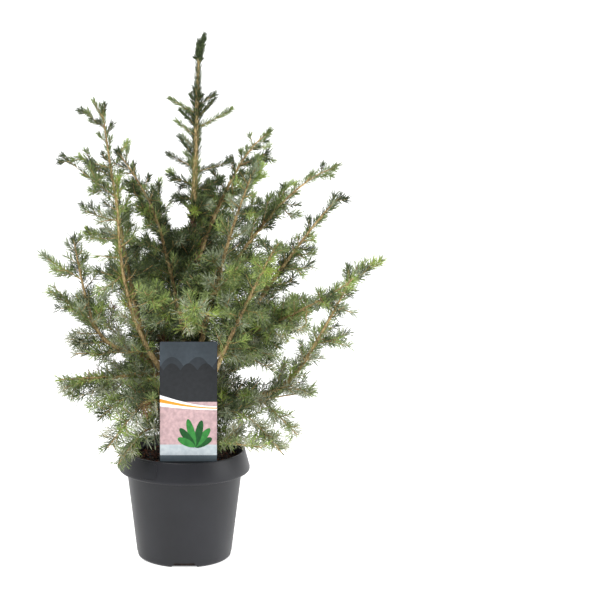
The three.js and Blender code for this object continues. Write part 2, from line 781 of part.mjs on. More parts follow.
for (const limb of limbs) {
  if (!limb.girth) continue;
  const bough = boughSolid(limb, limb.curve).subtract(clearOfTrunk);
  pieces.push(entry(`bough_${limb.name}`, bough, MATERIALS.bark));
}

const masses = [];

for (const limb of limbs) {
  const stem = stemSolid(limb, limb.curve).subtract(clearOfTrunk);
  const mass = entry(`foliage_${limb.name}`, stem, MATERIALS.needles);
  mass.shoots = [...forkShoots(limb, limb.curve), ...sideShoots(limb, limb.curve, limb.random)];
  masses.push(mass);
  pieces.push(mass);
}

for (const sleeve of SLEEVES) {
  const points = [];
  const radii = [];
  for (let i = 0; i <= sleeve.rows; i += 1) {
    const z = THREE.MathUtils.lerp(sleeve.from, sleeve.to, i / sleeve.rows);
    points.push(trunkAxis(z));
    radii.push(trunkRadius(z) + sleeve.cover);
  }
  const needle = (i, j) => ((i + j) % 2 === 0 ? SLEEVE_NEEDLE : null);
  const tube = toSolid(needleTube({ points, radii, sides: SLEEVE_SIDES, needle, twist: NEEDLE_TWIST }));
  const mass = entry(`foliage_${sleeve.name}`, tube.subtract(clearOfTrunk), MATERIALS.needles);
  mass.aroundTrunk = true;
  mass.shoots = sleeve.shoots.map((shoot) => {
    const direction = directionOf(shoot.heading, shoot.climb);
    return { root: trunkAxis(shoot.at), direction, length: shoot.length };
  });
  masses.push(mass);
  pieces.push(mass);
}

const tuftFoot = trunkAxis(TRUNK_TOP).addScaledVector(UP, GAP);
const tuft = needleTube({
  points: TUFT_RINGS.map(({ rise }) => tuftFoot.clone().add(new THREE.Vector3(rise * TUFT_LEAN, 0, rise))),
  radii: TUFT_RINGS.map(({ radius }) => radius),
  sides: TUFT_SIDES,
  needle: () => TUFT_NEEDLE,
  pointed: true,
  twist: NEEDLE_TWIST,
});
pieces.push(entry("foliage_leader_tip", toSolid(tuft), MATERIALS.needles));

// Every mass grows by one shoot in turn. A shoot that would touch a limb, another mass, the label,
// the soil or the pot is made shorter once, and is then left out.
const rounds = Math.max(...masses.map((mass) => mass.shoots.length));
for (let round = 0; round < rounds; round += 1) {
  for (const mass of masses) {
    const shoot = mass.shoots[round];
    if (!shoot) continue;
    const others = pieces.filter((piece) => piece !== mass && !(mass.aroundTrunk && piece.name === "trunk"));
    const sizes = [shoot.length, shoot.length * SHORTENED].filter((length) => length >= SHORTEST_SHOOT);
    const isFree = (size) => !touches(shootSolid({ ...shoot, length: size }, NEEDLE_CLEARANCE), others);
    const length = sizes.find(isFree);
    if (!length) continue;
    mass.solid = mass.solid.add(shootSolid({ ...shoot, length }, 0));
    if (mass.aroundTrunk) mass.solid = mass.solid.subtract(clearOfTrunk);
    mass.box = boxOf(mass.solid);
  }
}

const tree = new THREE.Group();
for (const piece of pieces) {
  const mesh = new THREE.Mesh(toGeometry(piece.solid), piece.material);
  mesh.name = piece.name;
  tree.add(mesh);
}

export default tree;
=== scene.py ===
"""Dressed model of a young Serbian spruce in a nursery pot.

The plant is worked out in millimetres, with +Z up, the origin at the middle of the pot's underside and
headings in degrees round +Z from +X. The label side is -Y. Meshes are written in metres.
"""

import math
from collections import namedtuple

import bmesh
import bpy
import numpy as np
from mathutils import Color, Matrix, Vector, noise

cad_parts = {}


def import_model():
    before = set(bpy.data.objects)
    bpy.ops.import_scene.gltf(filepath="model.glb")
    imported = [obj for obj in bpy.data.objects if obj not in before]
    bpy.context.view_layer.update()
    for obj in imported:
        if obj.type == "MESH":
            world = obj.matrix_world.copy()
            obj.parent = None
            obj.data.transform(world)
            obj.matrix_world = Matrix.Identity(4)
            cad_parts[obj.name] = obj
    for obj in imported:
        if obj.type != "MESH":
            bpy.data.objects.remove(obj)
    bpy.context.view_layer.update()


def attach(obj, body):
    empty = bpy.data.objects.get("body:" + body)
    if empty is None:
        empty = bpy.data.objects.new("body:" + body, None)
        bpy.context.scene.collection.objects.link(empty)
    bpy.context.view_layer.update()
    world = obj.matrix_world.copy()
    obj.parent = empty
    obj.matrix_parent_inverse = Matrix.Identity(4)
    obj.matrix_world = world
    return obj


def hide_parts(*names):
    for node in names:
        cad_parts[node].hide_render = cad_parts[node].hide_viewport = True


MM = 0.001
BODY = "root"
UP = np.array([0.0, 0.0, 1.0])
SEED = 20261

# Mottled looks: roughness, specular level, scale and detail of the mottle, and its two stops
PLASTIC = (0.44, 0.36, 14, 3, 0.35, 0.7)
PLASTIC_COLOURS = ((17, 18, 23), (24, 25, 31))
CARD_INK = (0.36, 0.15, 160, 2, 0.35, 0.65)
NEEDLE_WAX = (0.42, 0.45, 240, 4, 0.36, 0.64)
PLASTIC_GRAIN = (900, 2)
PLASTIC_BUMP = (0.08, 0.0002)

# Rough looks: colour of the crevices, of what lies between and of the ridges, then scale and roughness
BARKS = {
    "old_bark": ((44, 32, 24), (92, 66, 48), (128, 98, 76), 340, 0.8),
    "young_bark": ((106, 84, 54), (172, 146, 100), (212, 188, 138), 420, 0.8),
    "shoot_bark": ((128, 106, 66), (170, 146, 96), (200, 176, 122), 500, 0.8),
}
COMPOSTS = {
    "compost_dark": ((14, 10, 8), (30, 20, 15), (54, 36, 27), 600, 0.95),
    "compost_brown": ((40, 24, 16), (74, 45, 30), (104, 66, 46), 500, 0.95),
    "compost_red": ((60, 28, 18), (104, 52, 34), (134, 76, 50), 500, 0.95),
    "compost_grit": ((60, 52, 46), (96, 86, 76), (130, 120, 108), 500, 0.95),
}
ROUGH_DETAIL = 6
ROUGH_STRETCH = (1, 1, 0.45)
ROUGH_STOPS = (0.32, 0.5, 0.68)
ROUGH_BUMP = (0.5, 0.0006)

# Pot
POT_HEIGHT = 176
POT_FOOT_RADIUS = 76.2
POT_BODY_TOP_RADIUS = 92.3
POT_BODY_TOP = 141.4
COLLAR_TOP_RADIUS = 97.5
COLLAR_RADIUS = 105
COLLAR_WIDEST = 147.5
COLLAR_BOTTOM = 142.4
POT_WALL = 2.2
POT_FLOOR = 3.4
POT_CORNER = 6
POT_LIP = 1.1
DRAFT = 0.6
SKIRT_DROP = 8
DRAIN_COUNT = 4
DRAIN_FOOT_WIDTH = 44
DRAIN_HEAD_WIDTH = 30
DRAIN_HEIGHT = 8.5
DRAIN_DEPTH = 13
POT_SEGMENTS = 192
PANEL_TURN = (180, 245)
PANEL_HEIGHT = (148, 173)
PANEL_STEPS = 96
PANEL_SQUARENESS = 0.25
PANEL_RELIEF = 0.45

# Soil and label
SOIL_TOP = 160
SOIL_SEGMENTS = 96
SOIL_RINGS = 40
CRUMB_COUNT = 3400
CRUMB_SHARES = [0.5, 0.3, 0.16, 0.04]
CRUMB_SIZE = (0.6, 2.1)
CRUMB_UNEVEN = (0.7, 1.4)
CRUMB_LENGTH = (0.8, 2.2)
CRUMB_FLATNESS = (0.5, 0.9)
CRUMB_CORNERS = (0.65, 1.2)
CRUMB_TIP = (-0.5, 0.5)
CRUMB_RAISED = 0.3
CRUMB_MARGIN = 1.5
LABEL_WIDTH = 89
LABEL_BOTTOM = 171
LABEL_TOP = 364
LABEL_THICKNESS = 1.2
LABEL_CORNER = 3
LABEL_X = 6.3
LABEL_Y = -75
STAKE_WIDTH = 30
STAKE_POINT = 112
STAKE_POINT_WIDTH = 10
PRINT_STEP = 0.03
PRINT_MARGIN = 0.3
CARD_COLOURS = {
    "slate": ((40, 42, 44), (44, 46, 49)),
    "sky": ((64, 72, 79), (69, 77, 84)),
    "hill": ((50, 55, 60), (54, 59, 64)),
    "white": ((244, 245, 245), (244, 245, 245)),
    "orange": ((238, 150, 50), (238, 150, 50)),
    "rose": ((196, 166, 168), (172, 146, 148)),
    "grey": ((190, 198, 202), (174, 184, 190)),
    "base": ((74, 84, 91), (79, 89, 96)),
    "leaf": ((44, 110, 52), (58, 132, 60)),
    "deep_leaf": ((24, 70, 34), (34, 86, 42)),
}
# Leaves of the printed fan: lean and length
FAN = [(-62, 30), (-38, 38), (-14, 44), (14, 46), (38, 38), (62, 30)]

# Trunk and limbs
TRUNK_TOP = 800
TRUNK_FOOT_X = 1
TRUNK_LEAN = 21
TRUNK_LEAN_CURVE = 0.9
TRUNK_RADIUS = (10.5, 1.9)
TRUNK_FLARE = 6
TRUNK_FLARE_HEIGHT = 11
TRUNK_STEP = 2.0
TRUNK_SIDES = 28
YOUNG_BARK_FROM = 570
BARK_SWELLING = 0.08
BARK_SCALES = 0.1
BARK_PEG = 0.5
LIMB_TAPER = 1.1
STEM_GIRTH = 4.4
STEM_TIP_RADIUS = 0.9
STOUT_STEM = 1.2
BOUGH_COLLAR = 1.18
BOUGH_COLLAR_LENGTH = 30
BOUGH_STEP = 2.2
BOUGH_SIDES = 14
BOUGH_OVERLAP = 4
ELBOW_PULL = 3.2
LINE_POINTS = 200

# Side shoots, as on the plain solids
SHOOT_SPACING = 50
SHOOT_ANGLE = 56
SHOOT_ANGLE_SPREAD = 18
SHOOT_LIFT = 0.1
SHOOT_FLAT = 0.35
SHOOT_SHARE = (1.05, 0.45)
SHOOT_UNEVEN = 0.4
SPACING_UNEVEN = 0.3
TURN = 137.5
TURN_UNEVEN = 30
TIP_MARGIN = 13
SHORTEST_SHOOT = 22
FIRST_SEED = 41
SEED_STEP = 97

# Finer growth. A pair holds the value at the top of the plant, or at the foot of a limb, and the value
# low on the plant, or at the limb's tip.
HABIT_TOP = 700
HABIT_LOW = 420
STEM_STEP = 9
TWIG_STEP = 7
TWIG_WANDER = 0.035
TWIG_TIP_RADIUS = 0.45
SIDE_FOOT_RADIUS = 1.4
FILL_FOOT_RADIUS = 0.9
THICK_STEM = 1.3
THICK_STEM_SIDES = 7
THIN_STEM_SIDES = 4
SHORTEST_TWIG = 17
LONGEST_TWIG = 44
FEWEST_POINTS = 3
SHORTEST_FORKING = 32
FORK_ORDERS = 3
FORK_STRETCH = (0.16, 0.88)
FORK_SPACING = 13
FORK_SHARE = 0.66
FORK_THICKNESS = 0.7
FORK_ANGLES = (38, 56)
FORK_START_UNEVEN = 4
FORK_UNEVEN = (0.7, 1.15)
FORK_SPACING_UNEVEN = (0.75, 1.3)
SPRAY_ROLL = (0.95, 0.45)
FILL_SPACING = (12, 6.4)
FILL_SHARE = (1.0, 0.34)
FILL_ANGLES = (40, 64)
FILL_UNEVEN = (0.55, 1.2)
FILL_SPACING_UNEVEN = (0.7, 1.3)
FILL_MARGINS = (4, 8)
FILL_TURN_UNEVEN = 18
FILL_THICKNESS = 0.6
SIDE_THICKNESS = 0.72
SIDE_BARE = 0.06
LIMB_DENSITY = 1.35
INNER_SHOOT_STRETCH = (332, 545)
INNER_SHOOT_SPACING = 3.6
INNER_SHOOT_LENGTHS = (30, 62)
INNER_SHOOT_CLIMBS = (22, 52)
# Limbs whose sprays narrow towards the tip: the share of their width that is left there
SLIM_LIMBS = {
    "right_outer": 0.5, "right_tall": 0.5, "back_right_tall": 0.55, "left_outer": 0.7, "left_tall": 0.75,
    "right_drooping": 0.5, "front_right_drooping": 0.5,
}

# Places where the plant stands open from front to back, as seen from the eye point on the plane of the
# trunk: across, up, half width and half height
EYE = (0, -2600, 855)
CLEARINGS = [
    (-8, 548, 17, 21), (-133, 497, 24, 10), (103, 299, 24, 10), (168, 340, 16, 8), (-181, 441, 21, 13),
    (-163, 316, 24, 12), (228, 449, 26, 9), (184, 433, 20, 8), (128, 166, 40, 8), (-112, 708, 9, 12),
    (65, 650, 17, 8), (85, 665, 8, 12), (111, 674, 8, 9), (-71, 626, 6, 9), (-29, 575, 8, 8),
    (131, 520, 16, 8), (164, 521, 8, 9), (203, 632, 6, 9), (191, 589, 12, 8), (206, 570, 8, 11),
    (-184, 432, 19, 6), (80, 161, 29, 18), (-172, 302, 29, 8), (211, 391, 16, 10), (200, 289, 8, 8),
    (165, 256, 19, 10), (-116, 166, 11, 13), (-157, 600, 8, 9), (-178, 618, 17, 9), (-136, 653, 9, 9),
    (-26, 631, 6, 8), (237, 640, 6, 8), (188, 618, 5, 9), (248, 469, 6, 10), (-105, 323, 12, 8),
]
CLEARING_RAG = 0.55
CLEARING_WAVE = 1.9
CLEARING_SLANT = 7

# Shoots that a limb bears besides the seeded ones: share of its length, heading, climb and length
EXTRA_SHOOTS = {
    "left_tall": [(0.818, 192, 16, 51), (0.791, 206, 26, 44), (0.754, 164, 24, 40), (0.963, 210, 56, 29)],
    "front_left_inner": [
        (0.985, 324, 42, 23), (0.735, 206, 45, 33), (0.627, 217, 44, 47), (0.57, 221, 42, 41),
        (0.735, 198, 22, 36), (0.676, 216, 15, 35),
    ],
    "right_upper": [(0.732, 335, 19, 50), (0.639, 326, 19, 58), (0.555, 327, 14, 56)],
    "back_right_tall": [
        (0.676, 333, 60, 45), (0.607, 293, 62, 47), (0.718, 313, -38, 35), (0.578, 348, 16, 51),
    ],
    "front_right_outer": [
        (0.2, 353, -16, 86), (0.24, 352, -34, 92), (0.28, 345, -22, 76), (0.408, 350, -30, 67),
        (0.541, 347, -21, 46), (0.644, 209, -62, 44), (0.722, 258, -73, 35),
    ],
    "front_left_tall": [(0.762, 200, -4, 50), (0.609, 207, -33, 52)],
    "left_outer": [(0.764, 189, 28, 60), (0.592, 189, 28, 73), (0.494, 204, 1, 38), (0.438, 198, -6, 50)],
    "left_low": [(0.691, 199, -17, 65), (0.533, 197, -29, 79), (0.455, 206, -38, 88)],
    "right_outer": [(0.813, 340, -23, 31), (0.659, 348, -17, 50)],
    "front_right_rim": [(0.504, 330, 43, 45)],
    "front_right_drooping": [(0.683, 0, -52, 60)],
}

# Limbs whose bark shows from the front: the shares of their length between which it shows
SHOWN_STEMS = {
    "front_left_tall": (0.15, 0.85), "left_tall": (0.3, 0.97), "front_left_inner": (0.12, 0.97),
    "left_outer": (0.2, 0.96), "left_low": (0.25, 0.9), "front_right_inner": (0.15, 0.95),
    "right_upper": (0.1, 0.95), "front_right_tall": (0.2, 0.95), "right_tall": (0.45, 0.96),
    "right_outer": (0.55, 0.95), "back_right_tall": (0.5, 0.97), "front_right_outer": (0.55, 0.8),
}
SHOWN_STEP = 2.5
SHOWN_MARGIN = 0.8
SHOWN_SHARE = 0.85
SHOWN_NEAR = 9

# Needles
NEEDLE_WIDTH = (1.15, 1.35)
NEEDLE_LENGTH = (10, 16)
NEEDLE_DENSITY = (1.6, 1.25)
NEEDLE_SPREAD = (42, 66)
NEEDLE_RISE = 0.12
NEEDLE_UNEVEN = (0.75, 1.15)
NEEDLE_TURN_UNEVEN = 25
NEEDLE_SPREAD_UNEVEN = 8
SPRAY_UNEVEN = (0.9, 1.12)
NEEDLE_TWIST = 0.8
NEEDLE_BEND = 0.07
NEEDLE_SHOULDERS = (0.2, 0.8)
NEEDLE_NARROWING = 0.65
FULL_LOW = 0.75
FULL_INNER = 0.35
INNER_FROM = 60
INNER_FADE = 150
TIP_LENGTH = 9
TIP_CLOSED = 0.72
TUFT_COUNT = (26, 7)
TUFT_UNEVEN = (0.7, 1.2)
TUFT_LENGTH = 12
TUFT_CROWDING = 1.3
TUFT_SPREAD = 32
LABEL_MARGIN = 2.5

# Needles along the leader, by height: from, to, needle length, needles per mm and spread
LEADER_STRETCHES = [
    (430, 540, 13, 2.6, 60),
    (540, 640, 12, 5.5, 50),
    (640, 742, 12, 4.2, 44),
    (742, 798, 10, 3.8, 34),
]
# Closed tufts at the top of the leader: foot height, lean to the right and to the back, length,
# needle length, needles per mm and spread
LEADER_TUFTS = [
    (789, 0.26, 0.0, 38, 10.5, 7.0, 34), (791, 0.06, 0.05, 26, 10, 5.0, 30),
    (793, 0.04, -0.1, 19, 10, 4.5, 30), (795, 0.16, -0.16, 21, 10, 4.6, 28),
    (795, 0.24, 0.16, 21, 10, 4.6, 28), (793, -0.08, 0.04, 14, 9, 4.0, 30),
    (790, -1.0, -0.1, 8, 6.5, 3.0, 30), (787, 1.0, -0.1, 8, 6.5, 3.0, 30),
    (736, -0.9, -0.2, 6, 7, 3.2, 34), (728, 0.9, -0.4, 12, 8, 3.6, 34),
    (712, 0.8, -0.6, 14, 8.5, 3.6, 36), (640, -0.75, -0.2, 42, 9, 3.8, 30),
    (701, 0.9, -0.3, 42, 9, 3.8, 30), (690, -1.1, -0.3, 34, 9, 3.8, 34),
    (698, -1.0, -0.1, 20, 9, 3.8, 34),
]
LEADER_TUFT_NEEDLES = 12
PLAIN_SHOOTS_FROM = 600
LEADER_SHOOT_DENSITY = 1.7

# Colours of the sprays, as the dark and light ends of each, in screen values
NEEDLE_COLOURS = {
    "dark": ((38, 50, 27), (84, 99, 58)),
    "green": ((78, 96, 50), (142, 158, 96)),
    "blue": ((92, 108, 80), (172, 180, 150)),
    "fresh": ((98, 124, 50), (170, 188, 106)),
    "bright": ((116, 140, 50), (172, 188, 96)),
    "grey": ((114, 120, 96), (196, 198, 172)),
    "dead": ((96, 64, 38), (124, 86, 54)),
}
TONES = list(NEEDLE_COLOURS)
BRIGHT_SPOTS = [
    (118, 375), (-163, 455), (145, 458), (45, 390), (-107, 604), (135, 484), (25, 500), (126, 464),
    (-36, 445), (173, 405), (-29, 388), (90, 465), (-12, 664), (60, 262),
]
BRIGHT_DEPTH = 40
DEAD_SPOT = (-62, 242)
SPOT_REACH = 7
GREY_FROM = 430
GREY_FADE = 220
GREEN_FROM = 480
GREEN_FADE = 140
# Painted shade inside the crown: how strongly the dark tone is favoured near the trunk, and over what
# distance from it that fades
PAINTED_SHADE_INSIDE = 1.5
PAINTED_SHADE_FADE = 80

# Light and camera, in metres and degrees
CAMERA_PLACE = (0.0, -2.6, 0.855)
CAMERA_PITCH = 9.58
CAMERA_LENS = 100.23
CAMERA_SHIFT = 0.1927
WHITE = (1, 1, 1, 1)
PALE = (0.9, 0.9, 0.9, 1)
WORLD_STRENGTH = 0.36
STAGE_GLOW = 0.6
LIGHTS = [
    ("key", (-0.9, -1.8, 2.9), (0.0, 0.0, 0.4), 0.9, 88),
    ("side_right", (2.2, -0.6, 1.2), (0.0, 0.0, 0.35), 1.4, 52),
    ("side_left", (-2.2, 0.2, 1.2), (0.0, 0.0, 0.35), 1.4, 9),
]


def limb(name, run, leaf, bow=(1, 1), elbow=None, forks=()):
    """A limb leaves the trunk at a foot height on a heading and ends at its reach and tip height.

    bow holds how early it runs out and how late it climbs, elbow the out and up of its bend. leaf holds
    its girth, its bare share and the length of its side shoots, and each fork the share where a long
    side stem starts, its heading, climb and length.
    """
    foot, heading, reach, tip = run
    girth, bare, twig = leaf
    return {
        "name": name, "foot": foot, "heading": heading, "reach": reach, "tip": tip, "girth": girth,
        "bare": bare, "twig": twig, "bow": bow, "elbow": elbow, "forks": forks,
    }


LIMBS = [
    limb("front_left_tall", (262, 206, 120, 614), (9, 0.26, 40), bow=(2.7, 1.12),
         forks=[(0.92, 178, 34, 100), (0.83, 184, 12, 54), (0.77, 182, 0, 44), (0.68, 184, 2, 45),
                (0.6, 186, 8, 46), (0.58, 10, 24, 46), (0.52, 8, 18, 50)]),
    limb("left_tall", (205, 166, 137, 720), (9, 0.42, 44), bow=(1, 1.9), forks=[(0.935, 176, 34, 44)]),
    limb("front_left_inner", (322, 211, 127, 657), (7, 0.3, 52), elbow=(57, 566)),
    limb("left_outer", (318, 186, 181, 517), (8, 0.46, 46), elbow=(149, 338),
         forks=[(0.785, 182, 28, 70), (0.51, 192, 44, 94)]),
    limb("left_low", (300, 192, 206, 297), (6, 0.22, 50), bow=(1.2, 0.6),
         forks=[(0.78, 200, -40, 44), (0.5, 205, -35, 50)]),
    limb("left_middle", (336, 190, 182, 336), (0, 0.24, 46), bow=(1.4, 1)),
    limb("front_left_low", (250, 216, 166, 250), (6, 0.2, 46), elbow=(92, 290)),
    limb("front_left_drooping", (232, 232, 194, 216), (0, 0.1, 44), elbow=(99, 285)),
    limb("front_left_rim", (212, 222, 143, 174), (0, 0.1, 36), elbow=(88, 227)),
    limb("front_right_inner", (240, 308, 165, 636), (9, 0.4, 50), bow=(0.84, 0.91),
         forks=[(0.9, 10, 52, 42), (0.8, 4, 28, 36)]),
    limb("right_upper", (455, 20, 130, 674), (7, 0.2, 50), bow=(0.63, 1)),
    limb("front_right_tall", (214, 307, 223, 530), (9, 0.38, 52), bow=(0.88, 1.14)),
    limb("right_tall", (290, 345, 241, 586), (9, 0.3, 52), bow=(0.82, 1.33),
         forks=[(0.69, 350, 0, 32), (0.62, 348, -2, 50)]),
    limb("back_right_tall", (318, 25, 261, 614), (8, 0.36, 54), bow=(0.65, 0.8),
         forks=[(0.55, 8, 48, 62)]),
    limb("right_outer", (262, 1, 268, 469), (9, 0.34, 42), elbow=(158, 250),
         forks=[(0.93, 356, 31, 56), (0.63, 350, 14, 54), (0.37, 0, 72, 46)]),
    limb("front_right_outer", (318, 326, 292, 476), (7, 0.26, 54), bow=(1.2, 0.95),
         forks=[(0.35, 330, -8, 58)]),
    limb("right_low", (232, 8, 206, 262), (0, 0.12, 52), bow=(1, 0.8)),
    limb("right_drooping", (246, 340, 183, 213), (0, 0.12, 40), elbow=(109, 282)),
    limb("front_right_drooping", (244, 325, 181, 192), (0, 0.12, 40), elbow=(115, 252)),
    limb("front_right_rim", (196, 314, 166, 208), (0, 0.12, 40), bow=(1, 1.4)),
    limb("front_left_upper", (356, 248, 178, 456), (6, 0.24, 50), bow=(1.1, 0.8)),
    limb("front_upper", (344, 272, 196, 438), (0, 0.12, 50), bow=(1, 0.7)),
    limb("front_right_upper", (376, 294, 172, 492), (6, 0.24, 48), bow=(1.1, 0.8)),
    limb("back_middle", (268, 108, 218, 452), (8, 0.26, 56), bow=(1.1, 1.1)),
    limb("back_right_upper", (286, 74, 180, 560), (7, 0.26, 52), bow=(1.2, 1)),
    limb("back_left_upper", (278, 122, 196, 524), (8, 0.26, 54), bow=(1.2, 1.1)),
    limb("back_right_low", (208, 62, 234, 318), (0, 0.12, 54)),
    limb("back_low", (196, 92, 232, 262), (0, 0.12, 54)),
    limb("back_left_low", (212, 128, 200, 286), (0, 0.12, 48)),
    limb("back_right_outer", (306, 36, 232, 396), (7, 0.24, 50), bow=(1, 1.2), forks=[(0.45, 10, -35, 60)]),
    limb("back_left_outer", (262, 144, 206, 392), (0, 0.24, 48), bow=(1, 1.2)),
    limb("back_left_top", (440, 122, 100, 590), (0, 0.12, 40), bow=(2, 1.2)),
    limb("back_right_top", (430, 72, 98, 576), (0, 0.12, 40), bow=(1.3, 0.9)),
]

# Short shoots on the leader, by the node that stands for them, and others lower on the trunk: height,
# heading, climb and length
SLEEVES = {
    "foliage_leader_upper_needles": [
        (721, 4, 28, 30), (716, 130, 52, 24), (709, 190, 23, 44), (730, 262, 40, 26),
    ],
    "foliage_leader_middle_needles": [
        (687, 356, 24, 58), (675, 184, 31, 35), (660, 84, 40, 32), (653, 200, 42, 28), (626, 172, 19, 45),
        (618, 8, 10, 55), (622, 118, 34, 36),
    ],
    "foliage_leader_lower_needles": [
        (598, 176, 18, 40), (590, 352, 17, 44), (578, 204, 0, 58), (560, 60, 34, 58), (561, 170, 10, 42),
        (546, 286, 30, 54),
    ],
}
TRUNK_SHOOTS = [
    (222, 352, -17, 76), (215, 82, 22, 74), (238, 112, 28, 84), (262, 62, 24, 84), (284, 94, 28, 90),
    (303, 126, 24, 84), (318, 54, 24, 84), (328, 86, 30, 84),
]


# One leafy stem: its line, its radii, its colour, how its needles grow, its bare share and whether it
# has wood of its own
Twig = namedtuple("Twig", "points radii tone needle bare own_stem", defaults=(0.0, True))


def between(pair, share):
    """The value at a share of the way from the first number of a pair to the second."""
    first, last = pair
    return first + (last - first) * share


def lowness(z):
    """How low a height lies on the plant, from 0 at the top to 1 below."""
    return np.clip((HABIT_TOP - z) / (HABIT_TOP - HABIT_LOW), 0, 1)


# Meshes and materials

def mesh_object(name, vertices, faces, materials, slots=None, smooth=False):
    """One object from vertices in millimetres and a list of face arrays, each of one corner count."""
    mesh = bpy.data.meshes.new(name)
    piece = linked(name, mesh, materials)
    corners = [face for block in faces for face in np.asarray(block).tolist()]
    mesh.from_pydata((np.asarray(vertices) * MM).tolist(), [], corners)
    mesh.polygons.foreach_set("use_smooth", np.full(len(corners), smooth))
    if slots is not None:
        mesh.polygons.foreach_set("material_index", np.asarray(slots, np.int32))
    mesh.validate()
    return piece


def linked(name, mesh, materials):
    for material in materials:
        mesh.materials.append(material)
    piece = bpy.data.objects.new(name, mesh)
    bpy.context.scene.collection.objects.link(piece)
    return piece


def place_piece(piece, slot, *nodes):
    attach(piece, BODY)
    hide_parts(*nodes)


def set_inputs(node, values):
    """Sets a node's inputs by name, each to a value or linked to another node's output."""
    for name, value in values.items():
        if isinstance(value, bpy.types.NodeSocket):
            node.id_data.links.new(value, node.inputs[name])
        else:
            node.inputs[name].default_value = value


def add_node(tree, kind, values):
    node = tree.nodes.new(kind)
    set_inputs(node, values)
    return node


def shader(name, roughness, specular=0.5):
    """A new material, its node tree and its principled shader."""
    material = bpy.data.materials.new(name)
    material.use_nodes = True
    surface = material.node_tree.nodes["Principled BSDF"]
    set_inputs(surface, {"Roughness": roughness, "Specular IOR Level": specular})
    return material, material.node_tree, surface


def noise_field(tree, scale, detail, stretch=(1, 1, 1)):
    """The strength of a noise texture on the object's own coordinates."""
    place = add_node(tree, "ShaderNodeTexCoord", {}).outputs["Object"]
    place = add_node(tree, "ShaderNodeMapping", {"Vector": place, "Scale": stretch}).outputs["Vector"]
    values = {"Vector": place, "Scale": scale, "Detail": detail}
    return add_node(tree, "ShaderNodeTexNoise", values).outputs["Fac"]


def paint(tree, surface, field, stops):
    """Base colour over a field, as a list of position and colour in 0 to 255 screen values."""
    ramp = add_node(tree, "ShaderNodeValToRGB", {"Fac": field})
    ends = ramp.color_ramp.elements
    for place, (position, colour) in enumerate(stops):
        element = ends[place] if place < len(ends) else ends.new(1)
        element.position = position
        linear = Color([value / 255 for value in colour]).from_srgb_to_scene_linear()
        element.color = (*linear, 1)
    set_inputs(surface, {"Base Color": ramp.outputs["Color"]})


def add_bump(tree, surface, field, strength, distance):
    bump = add_node(tree, "ShaderNodeBump", {"Height": field, "Strength": strength, "Distance": distance})
    set_inputs(surface, {"Normal": bump.outputs["Normal"]})


def mottled_material(name, look, first, second):
    """Two colours that mingle: the look holds roughness, specular level, scale and detail of the
    mottle, and where on it the first colour ends and the second begins."""
    roughness, specular, scale, detail, low, high = look
    material, tree, surface = shader(name, roughness, specular)
    paint(tree, surface, noise_field(tree, scale, detail), [(low, first), (high, second)])
    return material


def rough_material(name, crevice, middle, ridge, scale, roughness):
    material, tree, surface = shader(name, roughness)
    field = noise_field(tree, scale, ROUGH_DETAIL, ROUGH_STRETCH)
    paint(tree, surface, field, zip(ROUGH_STOPS, (crevice, middle, ridge)))
    add_bump(tree, surface, field, *ROUGH_BUMP)
    return material


def plastic_material():
    """Moulded plastic with faint cloudy wear and a fine grain."""
    material = mottled_material("anthracite_plastic", PLASTIC, *PLASTIC_COLOURS)
    tree = material.node_tree
    add_bump(tree, tree.nodes["Principled BSDF"], noise_field(tree, *PLASTIC_GRAIN), *PLASTIC_BUMP)
    return material


# Tubes and other rounds

def unit(vectors):
    length = np.linalg.norm(vectors, axis=-1, keepdims=True)
    return vectors / np.maximum(length, 1e-9)


def round_faces(rows, sides):
    """Quads between the rings of a round form, and the triangles that close it at two more points."""
    here = np.arange(sides)
    there = (here + 1) % sides
    lows = np.arange(rows - 1)[:, None] * sides
    quads = np.stack([lows + here, lows + there, lows + sides + there, lows + sides + here], axis=-1)
    first = rows * sides
    top = first - sides
    ends = np.concatenate([
        np.stack([there, here, np.full(sides, first)], axis=-1),
        np.stack([top + here, top + there, np.full(sides, first + 1)], axis=-1),
    ])
    return quads.reshape(-1, 4), ends


def frames_of(points):
    """Directions beside and over a row of points, carried along it without twisting."""
    before = np.vstack([points[:1], points[:-1]])
    after = np.vstack([points[1:], points[-1:]])
    tangents = unit(after - before)
    side = np.cross([0.0, 1.0, 0.0], tangents[0])
    if np.dot(side, side) < 0.01:
        side = np.cross([1.0, 0.0, 0.0], tangents[0])
    sides = []
    for tangent in tangents:
        side = side - tangent * np.dot(side, tangent)
        side = side / np.linalg.norm(side)
        sides.append(side)
    return np.array(sides), np.cross(tangents, sides)


def tube_mesh(points, radii, sides, relief=0.0):
    """Vertices and faces of a round tube with closed ends. relief is added to the radius."""
    beside, over = frames_of(points)
    angles = np.linspace(0, 2 * math.pi, sides, endpoint=False)
    radius = np.repeat(np.asarray(radii)[:, None], sides, axis=1) + relief
    ring = (
        points[:, None, :]
        + beside[:, None, :] * (radius * np.cos(angles))[..., None]
        + over[:, None, :] * (radius * np.sin(angles))[..., None]
    )
    return np.vstack([ring.reshape(-1, 3), points[:1], points[-1:]]), *round_faces(len(points), sides)


class Batch:
    """Collects many small meshes, with a material number for each face, into one object."""

    def __init__(self):
        self.vertices = []
        self.blocks = {3: [], 4: []}
        self.slots = {3: [], 4: []}
        self.count = 0

    def add(self, vertices, faces, slot=0):
        for block in faces:
            corners = block.shape[1]
            self.blocks[corners].append(block + self.count)
            self.slots[corners].append(np.full(len(block), slot))
        self.vertices.append(vertices)
        self.count += len(vertices)

    def build(self, name, materials, smooth=False):
        kinds = [corners for corners in (3, 4) if self.blocks[corners]]
        faces = [np.concatenate(self.blocks[corners]) for corners in kinds]
        slots = np.concatenate([np.concatenate(self.slots[corners]) for corners in kinds])
        return mesh_object(name, np.concatenate(self.vertices), faces, materials, slots, smooth)


# Pot

